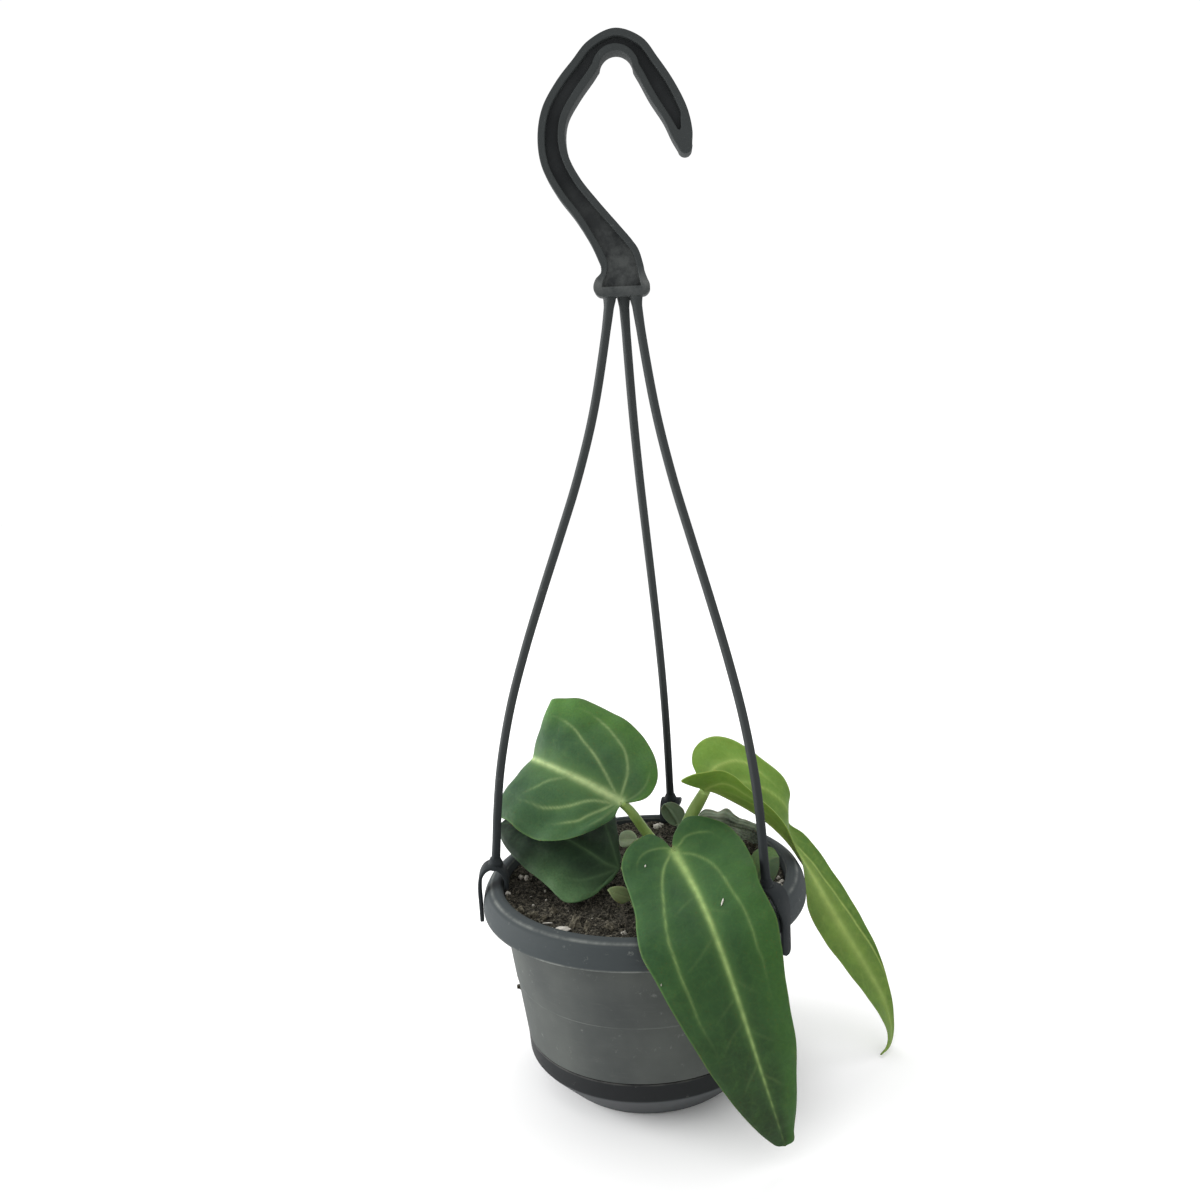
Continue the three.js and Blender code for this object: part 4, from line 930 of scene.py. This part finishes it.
def hook_outlines():
    line = np.array(HOOK_LINE)
    middle, half = line[:, :2], line[:, 2:] / 2
    ahead = unit(np.gradient(middle, axis=0))
    side = np.stack([-ahead[:, 1], ahead[:, 0]], -1)
    left, right = hook_edges(HOOK_FOOT, middle + side * half, middle - side * half)
    tip, across, onward = middle[-1], side[-1] * half[-1], ahead[-1] * half[-1]
    nose = [tip + across * math.cos(a) + onward * math.sin(a) for a in np.linspace(0.3, 2.84, 12)]
    body = np.vstack([left, nose, round_seat(right, SEAT_RADIUS)[::-1]])
    reach = side * (half - WALL)
    left, right = hook_edges(FOOT_POCKET, (middle + reach)[2:-2], (middle - reach)[2:-2])
    pocket = np.vstack([left, POCKET_END, round_seat(right, SEAT_RADIUS + SEAT_WALL)[::-1]])
    return body, pocket


def plate(outlines, depth, lip):
    """Points and faces of an upright plate with rounded edges; outlines after the first are holes."""
    curve = bpy.data.curves.new("outline", "CURVE")
    curve.dimensions, curve.fill_mode, curve.bevel_resolution = "2D", "BOTH", 3
    curve.extrude, curve.bevel_depth = depth / 2 - lip, lip
    for outline in outlines:
        loop = curve.splines.new("POLY")
        loop.points.add(len(outline) - 1)
        loop.points.foreach_set("co", [v for x, z in outline for v in (x, z, 0, 1)])
        loop.use_cyclic_u = True
    obj = placed("outline", curve)
    mesh = bpy.data.meshes.new_from_object(obj.evaluated_get(bpy.context.evaluated_depsgraph_get()))
    verts = np.array([(v.co.x, -v.co.z, v.co.y) for v in mesh.vertices])
    faces = [tuple(p.vertices) for p in mesh.polygons]
    bpy.data.objects.remove(obj)
    return verts, faces


# Its frame has rounded edges round a thin recessed web; both are flat on their two faces
body, pocket = hook_outlines()
rim = plate([offset_outline(body, LIP), offset_outline(pocket, -LIP)], HOOK_DEPTH, LIP)
web = plate([offset_outline(pocket, -WEB_OVERLAP)], WEB_DEPTH, 0)
# the web takes the darker recess colour, painted shade
for name, form, look in (("hook_frame", rim, HANGER), ("hook_web", web, RECESS_SHADE)):
    obj = piece(name, *form, look, "hanger_plastic", "hook")
    for polygon in obj.data.polygons:
        polygon.use_smooth = abs(polygon.normal.y) < 0.999

# Strands with their clips: lines as (height, distance from the axis) and (distance, height)
STRAND_ROOT, STRAND_TOP, STRAND_FOOT = 297.4, 295.9, 87.6
STRAND_REACH = 57
STRAND_LINE = [
    (STRAND_TOP, 0), (275, 4), (254, 9), (232, 16), (211, 24), (190, 32.2), (169, 40), (148, 46.8),
    (126, 52), (108, 54.7), (96, 56), (STRAND_FOOT, STRAND_REACH)]
STRAND_RADII = [2.5, 1.8, 1.7] + [1.6] * 48 + [1.65, 1.8]
BOSS_HEIGHTS, BOSS_RADII = (85.8, 88, 90.2), (2.6, 2.9, 2)
CLIP_LINE = [
    (63.4, 73), (63.4, 80), (62.7, 84.2), (60.6, 86.8), (57.6, 87.4), (55, 85.8), (53.4, 82.6),
    (53.2, 78.6)]
CLIP_RINGS = 70
CLIP_HALF_THICK = 0.65
CLIP_CORNER = 0.25
CLIP_HALF_WIDTHS = (2.45, 4.25)
# (direction in degrees, root on the hook's foot, height of the clip's foot)
CLIPS = {"left": (186, (-2.5, 0), 66), "right": (321, (7, -1), 62.4), "back": (78.5, (2.5, 2), 66)}


def clip_band(turn, foot):
    """A flat strip over the collar: narrow and set to one side below, broad on top."""
    share = np.linspace(0, 1, CLIP_RINGS)
    centre = along(spline([(r, 0, z) for r, z in [(CLIP_LINE[0][0], foot), *CLIP_LINE]], 12), share)
    ahead = unit(np.gradient(centre, axis=0))
    side = np.stack([-ahead[:, 2], np.zeros(CLIP_RINGS), ahead[:, 0]], -1)
    narrow, broad = CLIP_HALF_WIDTHS
    t, c = CLIP_HALF_THICK, CLIP_CORNER
    rows = []
    for i, s in enumerate(share):
        blunt = math.sqrt(max(1e-4, 1 - max(0, 1 - s / 0.06) ** 2))
        full = float(smooth(s, 0.3, 0.6))
        middle = 2 * (1 - full)
        w = (narrow + (broad - narrow) * full) * (0.45 + 0.55 * blunt)
        corner = [(t, w - c), (t - c, w), (-t + c, w), (-t, w - c)]
        outline = [(a, b + middle) for a, b in corner] + [(-a, middle - b) for a, b in corner]
        rows.append([centre[i] + side[i] * a + (0, b, 0) for a, b in outline])
    rows = np.array(rows)
    count = rows.shape[1]
    faces = grid_faces(CLIP_RINGS, count, wrap=True)
    faces += [range(count)[::-1], range((CLIP_RINGS - 1) * count, CLIP_RINGS * count)]
    return rows.reshape(-1, 3) @ turn, faces


def strand_section(angle):
    return 1 + 0.06 * np.cos(4 * angle)


for name, (degrees, (root_x, root_y), foot) in CLIPS.items():
    angle = math.radians(degrees)
    c, s = math.cos(angle), math.sin(angle)
    route = [(root_x, root_y, STRAND_ROOT)]
    for z, r in STRAND_LINE:
        stay = (z - STRAND_FOOT) / (STRAND_TOP - STRAND_FOOT)
        route.append((root_x * stay + r * c, root_y * stay + r * s, z))
    boss = [(STRAND_REACH * c, STRAND_REACH * s, z) for z in BOSS_HEIGHTS]
    form = merged([sweep(route, STRAND_RADII, 200, 20, strand_section),
                   clip_band([[c, s, 0], [-s, c, 0], [0, 0, 1]], foot),
                   sweep(boss, BOSS_RADII, 12, 28)])
    obj = piece("strand_and_clip_" + name, *form, HANGER, "hanger_plastic", "strand_" + name)
    obj.data.set_sharp_from_angle(angle=math.radians(50))

# Blades
blade(LEAF_A, VELVET_A, "velvet_leaf", 190, 38)
blade(LEAF_B, SHADED, "shaded_leaf", 150, 30)
blade(LEAF_C, VELVET, "velvet_leaf", 230, 42)
blade(LEAF_D, YOUNG, "young_leaf", 250, 36)
blade(LEAF_E, OLIVE, "dull_leaf", 70, 16)
blade(LEAF_BACK, DULL, "dull_leaf", 60, 14)
blade(LEAF_WITHERED, PAPERY, "withered_leaf", 110, 22)
blade(LEAF_SHEATH, SHEATH, "dull_leaf", 60, 14)
blade(LEAF_YOUNG, LIME, "young_leaf", 60, 14)

# Pale flecks lying on leaf C: (a point near the blade, length, width)
FLECKS = [((28.2, -50, 87.6), 1.5, 0.3), ((1, -30, 97), 0.6, 0.25), ((8, -62, 66), 0.4, 0.13)]
FLECK_HEIGHT = 0.2
FLECK_LIFT = 0.15
blade_c = bpy.data.objects["leaf_c_blade"].data
upper = [v for v in blade_c.vertices if v.normal.z > 0.15 and v.normal.y < 0]
flecks = []
for near, long, wide in FLECKS:
    spot = min(upper, key=lambda v: (v.co - Vector(near) * MM).length_squared)
    verts, faces = lump(0, 1, 2, 0.3)
    turn = np.array(Vector(spot.normal).to_track_quat("Z", "Y").to_matrix()).T
    place = np.array(spot.co) / MM + np.array(spot.normal) * FLECK_LIFT
    flecks.append((verts @ np.diag([wide, long, FLECK_HEIGHT]) @ turn + place, faces))
piece("leaf_flecks", *merged(flecks), PERLITE, "potting_mix", "leaf_c")

# Floor and light: pale even ground, soft light from all round, a little more from above and the left
FLOOR_TONE = 0.99
WORLD_STRENGTH = 1.03


def floor_material():
    n = Nodes("floor_white", (FLOOR_TONE,) * 3)
    n.over((FLOOR_TONE * 0.985,) * 3, n.noise(6, 3), 0.3, 0.7)
    return n.done(0.9)


def area_light(name, place, target, size, power):
    light = bpy.data.lights.new(name, "AREA")
    light.shape, light.size, light.energy = "DISK", size, power
    obj = placed(name, light)
    obj.location = place
    obj.rotation_euler = (Vector(target) - Vector(place)).to_track_quat("-Z", "Y").to_euler()


bpy.ops.mesh.primitive_plane_add(size=6, location=(0, 0, 0))
floor = bpy.context.object
floor.name = "floor"
floor.data.materials.append(floor_material())

world = bpy.data.worlds.new("studio")
bpy.context.scene.world = world
world.use_nodes = True
background = world.node_tree.nodes["Background"]
background.inputs["Color"].default_value = (1, 1, 1, 1)
background.inputs["Strength"].default_value = WORLD_STRENGTH
area_light("key", (0.1, 0.45, 1.1), (0, 0, 0.05), 0.5, 3)
area_light("window", (-1.25, 0.1, 0.3), (0, 0, 0.08), 1, 24)

# Camera at the photo's place, in metres
camera = bpy.data.cameras.new("photo")
camera.sensor_width, camera.lens = 36, 32.34
camera.shift_x, camera.shift_y = -0.0525, 0
camera.clip_start = 0.01
eye = placed("photo", camera)
right, up, back = (0.99906, -0.0074, -0.0428), (0.04345, 0.17004, 0.98447), (0, -0.9854, 0.1702)
turn = Matrix([Vector(side).normalized() for side in (right, up, back)]).transposed()
eye.matrix_world = Matrix.Translation((0.011875, -0.396875, 0.255)) @ turn.to_4x4()
bpy.context.scene.camera = eye
bpy.context.scene.view_settings.view_transform = "Standard"
